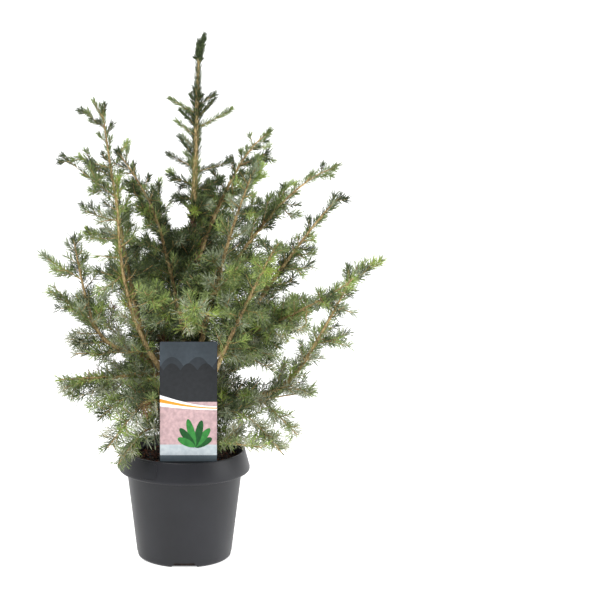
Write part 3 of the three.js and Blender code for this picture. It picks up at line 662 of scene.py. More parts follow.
def arc(centre, radius, start, end, steps=8):
    """Points of an arc in the profile plane, by angle in degrees."""
    angles = np.radians(np.linspace(start, end, steps))
    return [(centre[0] + radius * math.cos(a), centre[1] + radius * math.sin(a)) for a in angles]


def inner_radius(z):
    share = (z - POT_FLOOR) / (POT_HEIGHT - POT_FLOOR)
    foot = POT_FOOT_RADIUS - POT_WALL - DRAFT
    return between((foot, COLLAR_TOP_RADIUS - POT_WALL - 1), share)


def pot_profile():
    """Half outline of the pot, round from the middle of the underside to the middle of the floor."""
    skirt_top = POT_HEIGHT - SKIRT_DROP
    roll = COLLAR_WIDEST - COLLAR_BOTTOM
    rim_inside = inner_radius(POT_HEIGHT)
    lip = POT_HEIGHT - POT_LIP
    return [
        (0, 0),
        *arc((POT_FOOT_RADIUS - POT_CORNER, POT_CORNER), POT_CORNER, -90, 0),
        (POT_BODY_TOP_RADIUS, POT_BODY_TOP),
        (rim_inside - 1, skirt_top - 1),
        (rim_inside + 1, skirt_top + 1),
        (COLLAR_RADIUS - POT_WALL - 1, COLLAR_WIDEST + 4),
        (COLLAR_RADIUS - roll + 1, COLLAR_BOTTOM + 1),
        *arc((COLLAR_RADIUS - roll / 2, COLLAR_BOTTOM + roll / 2), roll / 2, -90, 0),
        (COLLAR_RADIUS, COLLAR_WIDEST),
        *arc((COLLAR_TOP_RADIUS - POT_LIP, lip), POT_LIP, 10, 90, 5),
        *arc((rim_inside + POT_LIP, lip), POT_LIP, 90, 180, 5),
        (inner_radius(POT_FLOOR), POT_FLOOR),
        (0, POT_FLOOR),
    ]


def lathe(name, profile, segments, materials):
    """A closed surface of revolution about Z from a profile that starts and ends on the axis."""
    angles = np.linspace(0, 2 * math.pi, segments, endpoint=False)
    radius, height = np.array(profile[1:-1], float).T[:, :, None]
    ring = np.stack([radius * np.cos(angles), radius * np.sin(angles), height + 0 * angles], axis=-1)
    ends = [[0, 0, profile[0][1]], [0, 0, profile[-1][1]]]
    faces = round_faces(len(profile) - 2, segments)
    return mesh_object(name, np.concatenate([ring.reshape(-1, 3), ends]), faces, materials, smooth=True)


def drain_cutters():
    """Wedges for the openings at the foot of the pot, wider at the ground."""
    vertices = []
    faces = []
    low, high = DRAIN_FOOT_WIDTH / 2, DRAIN_HEAD_WIDTH / 2
    section = [(-low, -1), (low, -1), (high, DRAIN_HEIGHT), (-high, DRAIN_HEIGHT)]
    for index in range(DRAIN_COUNT):
        out = direction_of(index * 360 / DRAIN_COUNT - 90, 0)
        beside = np.array([-out[1], out[0], 0])
        for quad in ((3, 2, 1, 0), (4, 5, 6, 7), (0, 1, 5, 4), (1, 2, 6, 5), (2, 3, 7, 6), (3, 0, 4, 7)):
            faces.append([8 * index + corner for corner in quad])
        for distance in (POT_FOOT_RADIUS - DRAIN_DEPTH, POT_FOOT_RADIUS + DRAIN_DEPTH):
            vertices += [out * distance + beside * across + UP * up for across, up in section]
    return mesh_object("drain_cutters", np.array(vertices), [faces], [])


def make_pot(plastic):
    pot = lathe("nursery_pot", pot_profile(), POT_SEGMENTS, [plastic])
    cutters = drain_cutters()
    cut = pot.modifiers.new("drains", "BOOLEAN")
    cut.object = cutters
    cut.operation = "DIFFERENCE"
    graph = bpy.context.evaluated_depsgraph_get()
    drained = bpy.data.meshes.new_from_object(pot.evaluated_get(graph))
    pot.modifiers.clear()
    pot.data = drained
    bpy.data.objects.remove(cutters)
    pot.data.set_sharp_from_angle(angle=math.radians(38))
    place_piece(pot, "pot", "pot")


def make_collar_panel(plastic):
    """A thin raised outline of a bare panel on the collar, with rounded corners."""
    start, end = PANEL_TURN
    low, high = PANEL_HEIGHT
    reach = math.radians((end - start) / 2) * COLLAR_RADIUS
    rise = (high - low) / 2
    outline = []
    for step in range(PANEL_STEPS):
        angle = 2 * math.pi * step / PANEL_STEPS
        across = math.copysign(abs(math.cos(angle)) ** PANEL_SQUARENESS, math.cos(angle)) * reach
        up = math.copysign(abs(math.sin(angle)) ** PANEL_SQUARENESS, math.sin(angle)) * rise
        heading = math.radians((start + end) / 2) + across / COLLAR_RADIUS
        z = low + rise + up
        share = (z - COLLAR_WIDEST) / (POT_HEIGHT - COLLAR_WIDEST)
        radius = between((COLLAR_RADIUS, COLLAR_TOP_RADIUS), share) + PANEL_RELIEF / 4
        outline.append((radius * math.cos(heading), radius * math.sin(heading), z))
    closed = np.array(outline + outline[:1])
    vertices, quads, _ = tube_mesh(closed, np.full(len(closed), PANEL_RELIEF), 6)
    ridge = mesh_object("collar_panel_outline", vertices[:-2], [quads], [plastic], smooth=True)
    place_piece(ridge, "pot", "pot")


# Soil

def soil_height(x, y):
    """Height of the compost, level round the trunk and rough everywhere."""
    away = min(1.0, math.hypot(x, y) / 30)
    low = noise.noise(Vector((x * 0.03, y * 0.03, 2.0))) * 4.0 * away
    fine = noise.noise(Vector((x * 0.22, y * 0.22, 5.0))) * 1.6 + noise.noise(Vector((x, y, 7.0))) * 0.7
    return SOIL_TOP - 0.8 + low + fine


OCTAHEDRON = np.array([[1, 0, 0], [-1, 0, 0], [0, 1, 0], [0, -1, 0], [0, 0, 1], [0, 0, -1]], float)
OCTAHEDRON_FACES = np.array([
    [0, 2, 4], [2, 1, 4], [1, 3, 4], [3, 0, 4], [2, 0, 5], [1, 2, 5], [3, 1, 5], [0, 3, 5],
])


def crumb(centre, stretch, random):
    """A small angular lump, turned any way."""
    corners = OCTAHEDRON * stretch * random.uniform(*CRUMB_CORNERS, (6, 1))
    spin, tip = random.uniform(0, 2 * math.pi), random.uniform(*CRUMB_TIP)
    turn = np.array([
        [math.cos(spin), -math.sin(spin), 0], [math.sin(spin), math.cos(spin), 0], [0, 0, 1],
    ])
    lean = np.array([[math.cos(tip), 0, math.sin(tip)], [0, 1, 0], [-math.sin(tip), 0, math.cos(tip)]])
    return corners @ lean.T @ turn.T + centre, [OCTAHEDRON_FACES]


def make_soil(materials, random):
    """Crumbly compost: a rough surface with loose crumbs and chips pressed into it."""
    batch = Batch()
    floor = POT_FLOOR + 0.5
    rim = inner_radius(SOIL_TOP) - 0.4
    vertices = []
    for ring, radius in enumerate([inner_radius(floor) - 2.3, *np.linspace(rim, 1.0, SOIL_RINGS)]):
        for angle in np.linspace(0, 2 * math.pi, SOIL_SEGMENTS, endpoint=False):
            x, y = radius * math.cos(angle), radius * math.sin(angle)
            vertices.append((x, y, soil_height(x, y) if ring else floor))
    vertices += [(0, 0, floor), (0, 0, soil_height(0, 0))]
    batch.add(np.array(vertices), round_faces(SOIL_RINGS + 1, SOIL_SEGMENTS))
    for _ in range(CRUMB_COUNT):
        angle = random.uniform(0, 2 * math.pi)
        radius = (rim - CRUMB_MARGIN) * math.sqrt(random.uniform(0, 1))
        x, y = radius * math.cos(angle), radius * math.sin(angle)
        size = random.uniform(*CRUMB_SIZE) * random.uniform(*CRUMB_UNEVEN)
        stretch = size * np.array([random.uniform(*CRUMB_LENGTH), 1, random.uniform(*CRUMB_FLATNESS)])
        centre = np.array([x, y, soil_height(x, y) + stretch[2] * CRUMB_RAISED])
        batch.add(*crumb(centre, stretch, random), slot=int(random.choice(4, p=CRUMB_SHARES)))
    place_piece(batch.build("potting_compost", materials), "soil", "potting_soil")


# Label

def card_outline():
    """The card and its stake, seen from the front, as points across and up."""
    half = LABEL_WIDTH / 2
    c = LABEL_CORNER
    right = [
        (STAKE_POINT_WIDTH / 2, STAKE_POINT), (STAKE_WIDTH / 2, LABEL_BOTTOM),
        *arc((half - c, LABEL_BOTTOM + c), c, -90, 0, 6),
        *arc((half - c, LABEL_TOP - c), c, 0, 90, 6),
    ]
    return right + [(-across, up) for across, up in reversed(right)]


def lowest_first(corners):
    """The same face started at its lowest corner, so that a bevel gives one order of faces each time."""
    start = corners.index(min(corners))
    return corners[start:] + corners[:start]


def flat_sheet(name, outline, front, thickness, material):
    """A flat plate standing across Y. A thick one has a small bevel round its edges."""
    mesh = bmesh.new()
    corners = [
        mesh.verts.new(((LABEL_X + across) * MM, front * MM, up * MM)) for across, up in outline
    ]
    face = mesh.faces.new(corners)
    if thickness:
        grown = bmesh.ops.extrude_face_region(mesh, geom=[face])
        moved = [item for item in grown["geom"] if isinstance(item, bmesh.types.BMVert)]
        bmesh.ops.translate(mesh, verts=moved, vec=(0, thickness * MM, 0))
        bmesh.ops.recalc_face_normals(mesh, faces=mesh.faces)
        rims = [edge for edge in mesh.edges if edge.calc_face_angle(0) > math.radians(60)]
        bmesh.ops.bevel(mesh, geom=rims, offset=0.2 * MM, segments=2, affect="EDGES")
    mesh.verts.index_update()
    points = [tuple(vert.co) for vert in mesh.verts]
    faces = sorted(lowest_first([vert.index for vert in face.verts]) for face in mesh.faces)
    mesh.free()
    data = bpy.data.meshes.new(name)
    data.from_pydata(points, [], faces)
    place_piece(linked(name, data, [material]), "label", "plant_label")


def curve_row(low, high, steps=24):
    """Points of a smooth line across the card, rising from low to high."""
    return [(s * LABEL_WIDTH, LABEL_BOTTOM + low + (high - low) * math.sin(b * math.pi / 2))
            for s, b in zip(np.linspace(-0.5, 0.5, steps), np.linspace(0, 1, steps))]


def hill_row(base, height, waves, phase, steps=48):
    """The soft skyline of a row of round hills."""
    points = []
    for share in np.linspace(-0.5, 0.5, steps):
        up = LABEL_BOTTOM + base + height * abs(math.sin(waves * math.pi * share + phase)) ** 0.8
        points.append((share * LABEL_WIDTH, up))
    return points


def oval(across, up, width, height, lean, steps=28):
    """A leaning pointed oval, as points across and up from the card's foot."""
    points = []
    turn = math.radians(lean)
    for angle in np.linspace(0, 2 * math.pi, steps, endpoint=False):
        x = math.cos(angle) * width / 2 * abs(math.sin((angle + math.pi / 2) / 2 + 0.3)) ** 0.15
        y = math.sin(angle) * height / 2
        points.append((
            across + x * math.cos(turn) - y * math.sin(turn),
            LABEL_BOTTOM + up + x * math.sin(turn) + y * math.cos(turn),
        ))
    return points


def make_label():
    """A plain card with a generic design: hills, a plain band with a stripe, and leaves on a pale ground."""
    inks = {}
    for ink, colours in CARD_COLOURS.items():
        inks[ink] = mottled_material("card_" + ink, CARD_INK, *colours)
    front = LABEL_Y - LABEL_THICKNESS / 2
    flat_sheet("label_card", card_outline(), front, LABEL_THICKNESS, inks["slate"])
    right = LABEL_WIDTH / 2 - PRINT_MARGIN
    left = -right
    height = LABEL_TOP - LABEL_BOTTOM
    top = LABEL_TOP - LABEL_CORNER - PRINT_MARGIN

    def under(row, low):
        return [(left, LABEL_BOTTOM + low), (right, LABEL_BOTTOM + low), *reversed(row)]

    def panel(low, high):
        return under([(left, LABEL_BOTTOM + high), (right, LABEL_BOTTOM + high)], low)

    sky = [
        (left, LABEL_TOP - 46), (right, LABEL_TOP - 46),
        *arc((right - LABEL_CORNER, top), LABEL_CORNER, 0, 90, 6),
        *arc((left + LABEL_CORNER, top), LABEL_CORNER, 90, 180, 6),
    ]
    layers = [
        ("sky", "sky", sky),
        ("far_hills", "hill", under(hill_row(height - 44, 20, 2.2, 0.4), height - 46.5)),
        ("near_hills", "slate", under(hill_row(height - 46, 12, 3.4, 1.5), height - 47)),
        ("ground", "rose", panel(26, 98)),
        ("path", "grey", panel(12, 30)),
        ("base", "base", panel(3.2, 13)),
    ]
    for order, (lean, length) in enumerate(FAN):
        angle = math.radians(lean)
        centre = (10 - math.sin(angle) * length / 2, 26 + math.cos(angle) * length / 2)
        ink = "leaf" if order % 2 else "deep_leaf"
        layers.append((f"leaf_{order + 1}", ink, oval(*centre, 12, length, lean)))
    layers.append(("band", "white", curve_row(109, 91) + curve_row(91, 85)[::-1]))
    layers.append(("stripe", "orange", curve_row(103, 89) + curve_row(97, 87.2)[::-1]))
    for order, (name, ink, outline) in enumerate(layers):
        trimmed = [(min(max(across, left), right), up) for across, up in outline]
        flat_sheet("label_" + name, trimmed, front - PRINT_STEP * (order + 1), 0, inks[ink])


# Trunk and limbs

def trunk_share(z):
    return np.clip((z - SOIL_TOP) / (TRUNK_TOP - SOIL_TOP), 0, 1.1)


def trunk_axis(z):
    z = np.asarray(z, float)
    x = TRUNK_FOOT_X + TRUNK_LEAN * trunk_share(z) ** TRUNK_LEAN_CURVE
    return np.stack([x, np.zeros_like(z), z], axis=-1)


def trunk_radius(z):
    taper = between(TRUNK_RADIUS, np.minimum(trunk_share(z), 1))
    return taper + TRUNK_FLARE * np.exp(-(z - SOIL_TOP) / TRUNK_FLARE_HEIGHT)


def bark_tube(points, radii, sides, step, seed):
    """A tube with rough bark: broad swellings, scales and the small pegs that old needles leave."""
    relief = np.zeros((len(points), sides))
    for row, size in enumerate(radii):
        along = row * step
        for side in range(sides):
            angle = 2 * math.pi * side / sides
            place = Vector((math.cos(angle) * 1.6, math.sin(angle) * 1.6, along * 0.05 + seed))
            broad = noise.noise(place)
            scale = noise.noise(Vector((place.x * 3, place.y * 3, along * 0.28 + seed)))
            peg = max(0.0, math.cos(5 * angle + along * 0.9)) * max(0.0, math.cos(8 * angle - along * 0.7))
            relief[row, side] = BARK_PEG * peg * min(1, size / 3)
            relief[row, side] += size * (BARK_SWELLING * broad + BARK_SCALES * scale)
    return tube_mesh(points, radii, sides, relief)


def make_trunk(bark, young_bark):
    """The trunk with its bark, ending in the slim leader."""
    heights = np.arange(SOIL_TOP + 0.3, TRUNK_TOP, TRUNK_STEP)
    tube = bark_tube(trunk_axis(heights), trunk_radius(heights), TRUNK_SIDES, TRUNK_STEP, 0.0)
    vertices, quads, ends = tube
    young = (vertices[quads].mean(axis=1)[:, 2] > YOUNG_BARK_FROM).astype(int)
    slots = np.concatenate([young, [0] * TRUNK_SIDES + [1] * TRUNK_SIDES])
    trunk = mesh_object("trunk_bark", vertices, [quads, ends], [bark, young_bark], slots, smooth=True)
    place_piece(trunk, "bark", "trunk")


class Line:
    """A curve in space that is read by its share of length."""

    def __init__(self, points):
        self.points = np.asarray(points, float)
        steps = np.linalg.norm(np.diff(self.points, axis=0), axis=1)
        self.marks = np.concatenate([[0], np.cumsum(steps)])
        self.length = float(self.marks[-1])

    def at(self, share):
        distance = np.asarray(share) * self.length
        return np.stack([np.interp(distance, self.marks, self.points[:, k]) for k in range(3)], axis=-1)

    def tangent(self, share):
        near = 1.5 / self.length
        return unit(self.at(np.minimum(share + near, 1.0)) - self.at(np.maximum(share - near, 0.0)))


def limb_line(row):
    """The limb's line from the trunk's axis to its tip."""
    t = np.linspace(0, 1, LINE_POINTS)
    if row["elbow"]:
        across, up = row["elbow"]
        start, middle, end = (1 - t) ** 2, 2 * t * (1 - t) * ELBOW_PULL, t ** 2
        whole = start + middle + end
        out = (middle * across + end * row["reach"]) / whole
        height = (start * row["foot"] + middle * up + end * row["tip"]) / whole
    else:
        bow, lift = row["bow"]
        out = row["reach"] * (1 - (1 - t) ** bow)
        height = between((row["foot"], row["tip"]), t ** lift)
    heading = math.radians(row["heading"])
    x, y, _ = trunk_axis(row["foot"])
    return Line(np.stack([x + out * math.cos(heading), y + out * math.sin(heading), height], axis=-1))


def limb_radius(row, share):
    foot = (row["girth"] or STEM_GIRTH) / 2
    if row["name"] in SHOWN_STEMS:
        foot *= STOUT_STEM
    return between((foot, STEM_TIP_RADIUS), np.minimum(share, 1) ** LIMB_TAPER)


def make_boughs(bark):
    """The bare lower stretch of every limb, with its bark, from inside the trunk outwards."""
    batch = Batch()
    nodes = []
    for index, row in enumerate(LIMBS):
        if not row["girth"]:
            continue
        line = row["line"]
        end = row["bare"] + BOUGH_OVERLAP / line.length
        shares = np.linspace(0, end, max(8, int(end * line.length / BOUGH_STEP)))
        collar = 1 + (BOUGH_COLLAR - 1) * np.exp(-shares * line.length / BOUGH_COLLAR_LENGTH)
        radii = limb_radius(row, shares) * collar
        vertices, *faces = bark_tube(line.at(shares), radii, BOUGH_SIDES, BOUGH_STEP, 10.0 + index)
        batch.add(vertices, faces)
        nodes.append("bough_" + row["name"])
    place_piece(batch.build("boughs_bark", [bark], smooth=True), "bark", *nodes)


# Growth

def seeded(state):
    """Repeatable random numbers from 0 to 1, by the same rule as the plain solids."""
    while True:
        state = (state * 1664525 + 1013904223) % 4294967296
        yield state / 4294967296


def direction_of(heading, climb):
    heading, climb = math.radians(heading), math.radians(climb)
    level = math.cos(climb)
    return np.array([math.cos(heading) * level, math.sin(heading) * level, math.sin(climb)])


def round_stem(tangent, steep):
    """Directions beside and over a stem, turned to the front where it stands steeper than a limit."""
    beside = np.cross(tangent, UP)
    upright = np.linalg.norm(beside, axis=-1, keepdims=True) < steep
    beside = unit(np.where(upright, np.cross(tangent, [1.0, 0.0, 0.0]), beside))
    return beside, np.cross(beside, tangent)


def shoot_direction(line, share, turn, angle):
    """The way of a side shoot that is turned round its stem. On a level stem the shoots are pressed
    into a flat spray, on a steep one they stand all round."""
    tangent = line.tangent(share)
    beside, over = round_stem(tangent, 0)
    flat = SHOOT_FLAT + (1 - SHOOT_FLAT) * abs(tangent[2])
    away = unit(beside * math.cos(math.radians(turn)) + over * math.sin(math.radians(turn)) * flat)
    return tangent * math.cos(math.radians(angle)) + away * math.sin(math.radians(angle))


def side_shoots(row, draws):
    """The main side shoots turn round the limb by a fixed angle and get shorter to the tip."""
    line = row["line"]
    length = line.length
    bare = length * row["bare"]
    shoots = []
    turn = next(draws) * 360
    distance = bare + SHOOT_SPACING / 2
    while distance < length - TIP_MARGIN:
        share = distance / length
        angle = SHOOT_ANGLE + (next(draws) - 0.5) * SHOOT_ANGLE_SPREAD
        direction = shoot_direction(line, share, turn, angle)
        uneven = 1 + (next(draws) - 0.5) * SHOOT_UNEVEN
        size = row["twig"] * between(SHOOT_SHARE, (distance - bare) / (length - bare)) * uneven
        shoots.append((share, direction, max(size, SHORTEST_SHOOT)))
        turn += TURN + (next(draws) - 0.5) * TURN_UNEVEN
        distance += SHOOT_SPACING * (1 + (next(draws) - 0.5) * SPACING_UNEVEN)
    return shoots


def fill_shoots(row, random):
    """The finer shoots between the main side shoots, by the same rule at a closer spacing."""
    line = row["line"]
    length = line.length
    bare = length * row["bare"]
    slim = SLIM_LIMBS.get(row["name"], 1)
    shoots = []
    turn = random.uniform(0, 360)
    start, end = FILL_MARGINS
    distance = bare + start
    while distance < length - end:
        share = distance / length
        direction = shoot_direction(line, share, turn, random.uniform(*FILL_ANGLES))
        outward = (distance - bare) / (length - bare)
        size = row["twig"] * between(FILL_SHARE, outward) * random.uniform(*FILL_UNEVEN)
        size *= 1 + (slim - 1) * outward
        shoots.append((share, direction, max(size, SHORTEST_TWIG)))
        turn += TURN + random.uniform(-FILL_TURN_UNEVEN, FILL_TURN_UNEVEN)
        spacing = between(FILL_SPACING, lowness(line.at(share)[2]))
        distance += spacing * random.uniform(*FILL_SPACING_UNEVEN)
    return shoots


def seen_on(points, y):
    """Where points stand, across and up, as seen from the eye point on an upright plane at y."""
    points = np.atleast_2d(points)
    share = (y - EYE[1]) / (points[:, 1] - EYE[1])
    across = EYE[0] + (points[:, 0] - EYE[0]) * share
    up = EYE[2] + (points[:, 2] - EYE[2]) * share
    return across, up


def in_clearing(points):
    """Which points stand in one of the places that are open from front to back."""
    across, up = seen_on(points, 0)
    inside = np.zeros(len(across), bool)
    slanted = up / CLEARING_WAVE + across / CLEARING_SLANT
    ragged = 1 + CLEARING_RAG * np.sin(across / CLEARING_WAVE) * np.cos(slanted)
    for x, z, half_width, half_height in CLEARINGS:
        inside |= ((across - x) / half_width) ** 2 + ((up - z) / half_height) ** 2 < ragged
    return inside


def before_label(points):
    """Which points stand in front of the label, or so close behind it that they touch it."""
    across, up = seen_on(points, LABEL_Y)
    beside = np.abs(across - LABEL_X) < LABEL_WIDTH / 2 + LABEL_MARGIN
    level = (up > LABEL_BOTTOM - LABEL_MARGIN) & (up < LABEL_TOP + LABEL_MARGIN)
    return beside & level & (np.atleast_2d(points)[:, 1] < LABEL_Y + LABEL_MARGIN)


def shown_stems():
    """Points along the limbs whose bark shows from the front: across, up, depth and half the width
    that stays open before them."""
    samples = []
    for row in LIMBS:
        if row["name"] not in SHOWN_STEMS:
            continue
        first, last = SHOWN_STEMS[row["name"]]
        line = row["line"]
        shares = np.linspace(first, last, int((last - first) * line.length / SHOWN_STEP))
        points = line.at(shares)
        across, up = seen_on(points, 0)
        samples.append(np.stack([across, up, points[:, 1], limb_radius(row, shares) + SHOWN_MARGIN], axis=1))
    return np.concatenate(samples)


def before_stem(points, stems):
    """Which points would hide the bark of a limb that shows from the front."""
    across, up = seen_on(points, 0)
    near = (
        (stems[:, 0] > across.min() - SHOWN_NEAR) & (stems[:, 0] < across.max() + SHOWN_NEAR)
        & (stems[:, 1] > up.min() - SHOWN_NEAR) & (stems[:, 1] < up.max() + SHOWN_NEAR)
    )
    stems = stems[near]
    beside = np.hypot(across[:, None] - stems[:, 0], up[:, None] - stems[:, 1]) < stems[:, 3]
    return np.any(beside & (points[:, 1][:, None] < stems[:, 2]), axis=1)


def needle_habit(place, random):
    """How needles grow at a place: short, sparse and pressed forward at the top, long and dense below."""
    low = lowness(place[2])
    inner = 1 - np.clip((math.hypot(place[0], place[1]) - INNER_FROM) / INNER_FADE, 0, 1)
    full = np.clip(FULL_LOW * low + FULL_INNER * inner * low, 0, 1)
    return {
        "length": between(NEEDLE_LENGTH, full) * random.uniform(*SPRAY_UNEVEN),
        "density": between(NEEDLE_DENSITY, full),
        "spread": between(NEEDLE_SPREAD, full),
        "width": between(NEEDLE_WIDTH, low),
        "tuft": int(between(TUFT_COUNT, low) * random.uniform(*TUFT_UNEVEN)),
    }


def tone_at(place, outward, random):
    """The colour of a spray: greyer below, darker inside as painted shade, greener at the top, fresher at
    the outer tips.
    """
    if place[1] < BRIGHT_DEPTH:
        across, up = seen_on(place, 0)
        seen = (across[0], up[0])
        if any(math.dist(seen, spot) < SPOT_REACH for spot in BRIGHT_SPOTS):
            return "bright"
        if math.dist(seen, DEAD_SPOT) < SPOT_REACH:
            return "dead"
    low = float(np.clip((GREY_FROM - place[2]) / GREY_FADE, 0, 1))
    high = float(np.clip((place[2] - GREEN_FROM) / GREEN_FADE, 0, 1))
    # painted shade: the nearer a spray stands to the trunk, the more often it is dealt the dark tone
    inner = float(np.clip(PAINTED_SHADE_INSIDE - math.hypot(place[0], place[1]) / PAINTED_SHADE_FADE, 0, 1))
    shares = {
        "dark": 0.26 + 0.8 * inner * (1 - 0.6 * high) + 0.15 * high,
        "green": 0.36 + 0.2 * high,
        "blue": (0.26 - 0.12 * outward) * (1 - 0.8 * high),
        "fresh": 0.07 + 0.15 * outward,
        "bright": 0.03 * outward,
        "grey": 0.5 * low,
        "dead": 0.012 * low,
    }
    weights = np.array([shares[tone] for tone in TONES])
    return TONES[random.choice(len(TONES), p=weights / weights.sum())]


def stem_points(root, direction, length, lift, random):
    """A stem that bends up and wanders a little."""
    count = max(3, int(length / TWIG_STEP) + 1)
    distance = np.linspace(0, length, count)
    drift = np.cumsum(random.normal(0, TWIG_WANDER * TWIG_STEP, (count, 3)), axis=0)
    drift[0] = 0
    rise = lift * distance ** 2 / length
    return root + distance[:, None] * direction + rise[:, None] * UP + drift


def branchlet(root, direction, length, foot, order, outward, random):
    """A side shoot with its own side twigs, alternately left and right in a flat spray."""
    points = stem_points(root, direction, length, SHOOT_LIFT, random)
    if np.any(before_label(points)):
        return []
    cleared = in_clearing(points)
    if np.any(cleared):
        kept = int(np.argmax(cleared))
        if kept < FEWEST_POINTS:
            return []
        points = points[:kept]
        length *= kept / len(cleared)
    tone = tone_at(points[-1], outward, random)
    radii = np.linspace(foot, TWIG_TIP_RADIUS, len(points))
    habit = needle_habit(points[-1], random)
    twigs = [Twig(points, radii, tone, habit, bare=0.0 if order > 1 else SIDE_BARE)]
    if order >= FORK_ORDERS or length < SHORTEST_FORKING:
        return twigs
    line = Line(points)
    spray_roll = between(SPRAY_ROLL, lowness(root[2]))
    first, last = FORK_STRETCH
    side = 1 if random.uniform() < 0.5 else -1
    distance = length * first + random.uniform(0, FORK_START_UNEVEN)
    while distance < length * last:
        share = distance / length
        tangent = line.tangent(share)
        beside, over = round_stem(tangent, 0.3)
        roll = random.normal(0, spray_roll)
        away = unit(beside * side * math.cos(roll) + over * math.sin(roll))
        angle = math.radians(random.uniform(*FORK_ANGLES))
        heading = unit(tangent * math.cos(angle) + away * math.sin(angle))
        size = (length - distance) * FORK_SHARE * random.uniform(*FORK_UNEVEN)
        size = min(max(size, SHORTEST_TWIG), LONGEST_TWIG)
        thin = foot * FORK_THICKNESS
        twigs += branchlet(line.at(share), heading, size, thin, order + 1, outward, random)
        side = -side
        distance += FORK_SPACING * random.uniform(*FORK_SPACING_UNEVEN)
    return twigs


def grow_limb(row, index, random):
    """All the leafy stems of one limb."""
    line = row["line"]
    shares = np.linspace(row["bare"], 1, max(6, int((1 - row["bare"]) * line.length / STEM_STEP)))
    points = line.at(shares)
    habit = needle_habit(points[-1], random)
    habit["density"] *= LIMB_DENSITY
    twigs = [Twig(points, limb_radius(row, shares), tone_at(points[-1], 1.0, random), habit)]
    forks = [(at, direction_of(heading, climb), length) for at, heading, climb, length in row["forks"]]
    for share, direction, length in forks + side_shoots(row, seeded(FIRST_SEED + index * SEED_STEP)):
        foot = min(float(limb_radius(row, share)) * SIDE_THICKNESS, SIDE_FOOT_RADIUS)
        twigs += branchlet(line.at(share), direction, length, foot, 1, share, random)
    for share, heading, climb, length in EXTRA_SHOOTS.get(row["name"], []):
        direction = direction_of(heading, climb)
        twigs += branchlet(line.at(share), direction, length, SIDE_FOOT_RADIUS, 2, share, random)
    for share, direction, length in fill_shoots(row, random):
        foot = min(float(limb_radius(row, share)) * FILL_THICKNESS, FILL_FOOT_RADIUS)
        twigs += branchlet(line.at(share), direction, length, foot, 2, share, random)
    return twigs


def leader_habit(length, density, spread, tuft):
    return {"length": length, "density": density, "spread": spread, "tuft": tuft, "width": NEEDLE_WIDTH[0]}


def grow_leader(random):
    """The needles on the leader, its closed tufts, its side shoots and the shoots inside the plant."""
    twigs = []
    for low, high, *needle in LEADER_STRETCHES:
        heights = np.linspace(low, high, max(3, int((high - low) / STEM_STEP)))
        tone = "dark" if low > PLAIN_SHOOTS_FROM else "green"
        habit = leader_habit(*needle, 0)
        twigs.append(Twig(trunk_axis(heights), trunk_radius(heights), tone, habit, own_stem=False))
    for foot, lean, depth, size, *needle in LEADER_TUFTS:
        points = stem_points(trunk_axis(foot), unit(np.array([lean, depth, 1.0])), size, 0.0, random)
        radii = np.linspace(SIDE_FOOT_RADIUS, TWIG_TIP_RADIUS, len(points))
        twigs.append(Twig(points, radii, "dark", leader_habit(*needle, LEADER_TUFT_NEEDLES)))
    for height, heading, climb, length in sum(SLEEVES.values(), []) + TRUNK_SHOOTS:
        order = FORK_ORDERS if height > PLAIN_SHOOTS_FROM else 2
        direction = direction_of(heading, climb)
        shoots = branchlet(trunk_axis(height), direction, length, SIDE_FOOT_RADIUS, order, 1.0, random)
        for shoot in shoots:
            shoot.needle["density"] *= LEADER_SHOOT_DENSITY
        twigs += shoots
    height, high = INNER_SHOOT_STRETCH
    turn = 0.0
    while height < high:
        direction = direction_of(turn, random.uniform(*INNER_SHOOT_CLIMBS))
        length = random.uniform(*INNER_SHOOT_LENGTHS)
        twigs += branchlet(trunk_axis(height), direction, length, SIDE_FOOT_RADIUS, 2, 0.2, random)
        turn += TURN
        height += INNER_SHOOT_SPACING
    return twigs


# Needles

def needles_on(twig, stems, random):
    """The needles of one stem: those along it, and a closed tuft of more at its tip. Returns their
    roots, directions, the way their blades face at the foot and near the point, the way of the stem
    and their lengths."""
    line = Line(twig.points)
    habit = twig.needle
    along = max(5, int(line.length * (1 - twig.bare) * habit["density"]))
    count = along + habit["tuft"]
    index = np.arange(count)
    share = twig.bare + (1 - twig.bare) * (index + random.uniform(0, 1, count)) / along
    in_tuft = index >= along
    from_tip = random.uniform(0, 1, count) ** TUFT_CROWDING * min(TUFT_LENGTH / line.length, 0.6)
    share = np.where(in_tuft, 1 - from_tip, np.minimum(share, 1))
    tangent = line.tangent(share)
    beside, over = round_stem(tangent, 0.2)
    uneven = random.uniform(-NEEDLE_TURN_UNEVEN, NEEDLE_TURN_UNEVEN, count)
    turn = np.radians(index * TURN + uneven)[:, None]
    away = beside * np.cos(turn) + over * np.sin(turn)
    openness = np.clip((1 - share) * line.length / TIP_LENGTH, 0, 1)
    spread = habit["spread"] * between((TIP_CLOSED, 1), openness)
    uneven = random.normal(0, NEEDLE_SPREAD_UNEVEN, count)
    spread = np.radians(np.where(in_tuft, TUFT_SPREAD, spread) + uneven)[:, None]
    direction = unit(tangent * np.cos(spread) + away * np.sin(spread) + UP * NEEDLE_RISE)
    radius = np.interp(share, np.linspace(0, 1, len(twig.radii)), twig.radii)[:, None]
    root = line.at(share) + away * (radius * 0.8)
    length = (habit["length"] * random.uniform(*NEEDLE_UNEVEN, count))[:, None]
    flat = unit(np.cross(direction, away + tangent * 0.01))
    over = np.cross(direction, flat)
    roll = random.uniform(0, math.pi, count)[:, None]
    foot = flat * np.cos(roll) + over * np.sin(roll)
    head = flat * np.cos(roll + NEEDLE_TWIST) + over * np.sin(roll + NEEDLE_TWIST)
    middle = root + direction * length * 0.4
    point = root + direction * length * 0.9
    hidden = before_stem(middle, stems) | before_stem(point, stems)
    hidden &= random.uniform(0, 1, count) < SHOWN_SHARE
    clear = ~(hidden | before_label(point) | before_label(root) | in_clearing(middle))
    return [part[clear] for part in (root, direction, foot, head, tangent, length)]


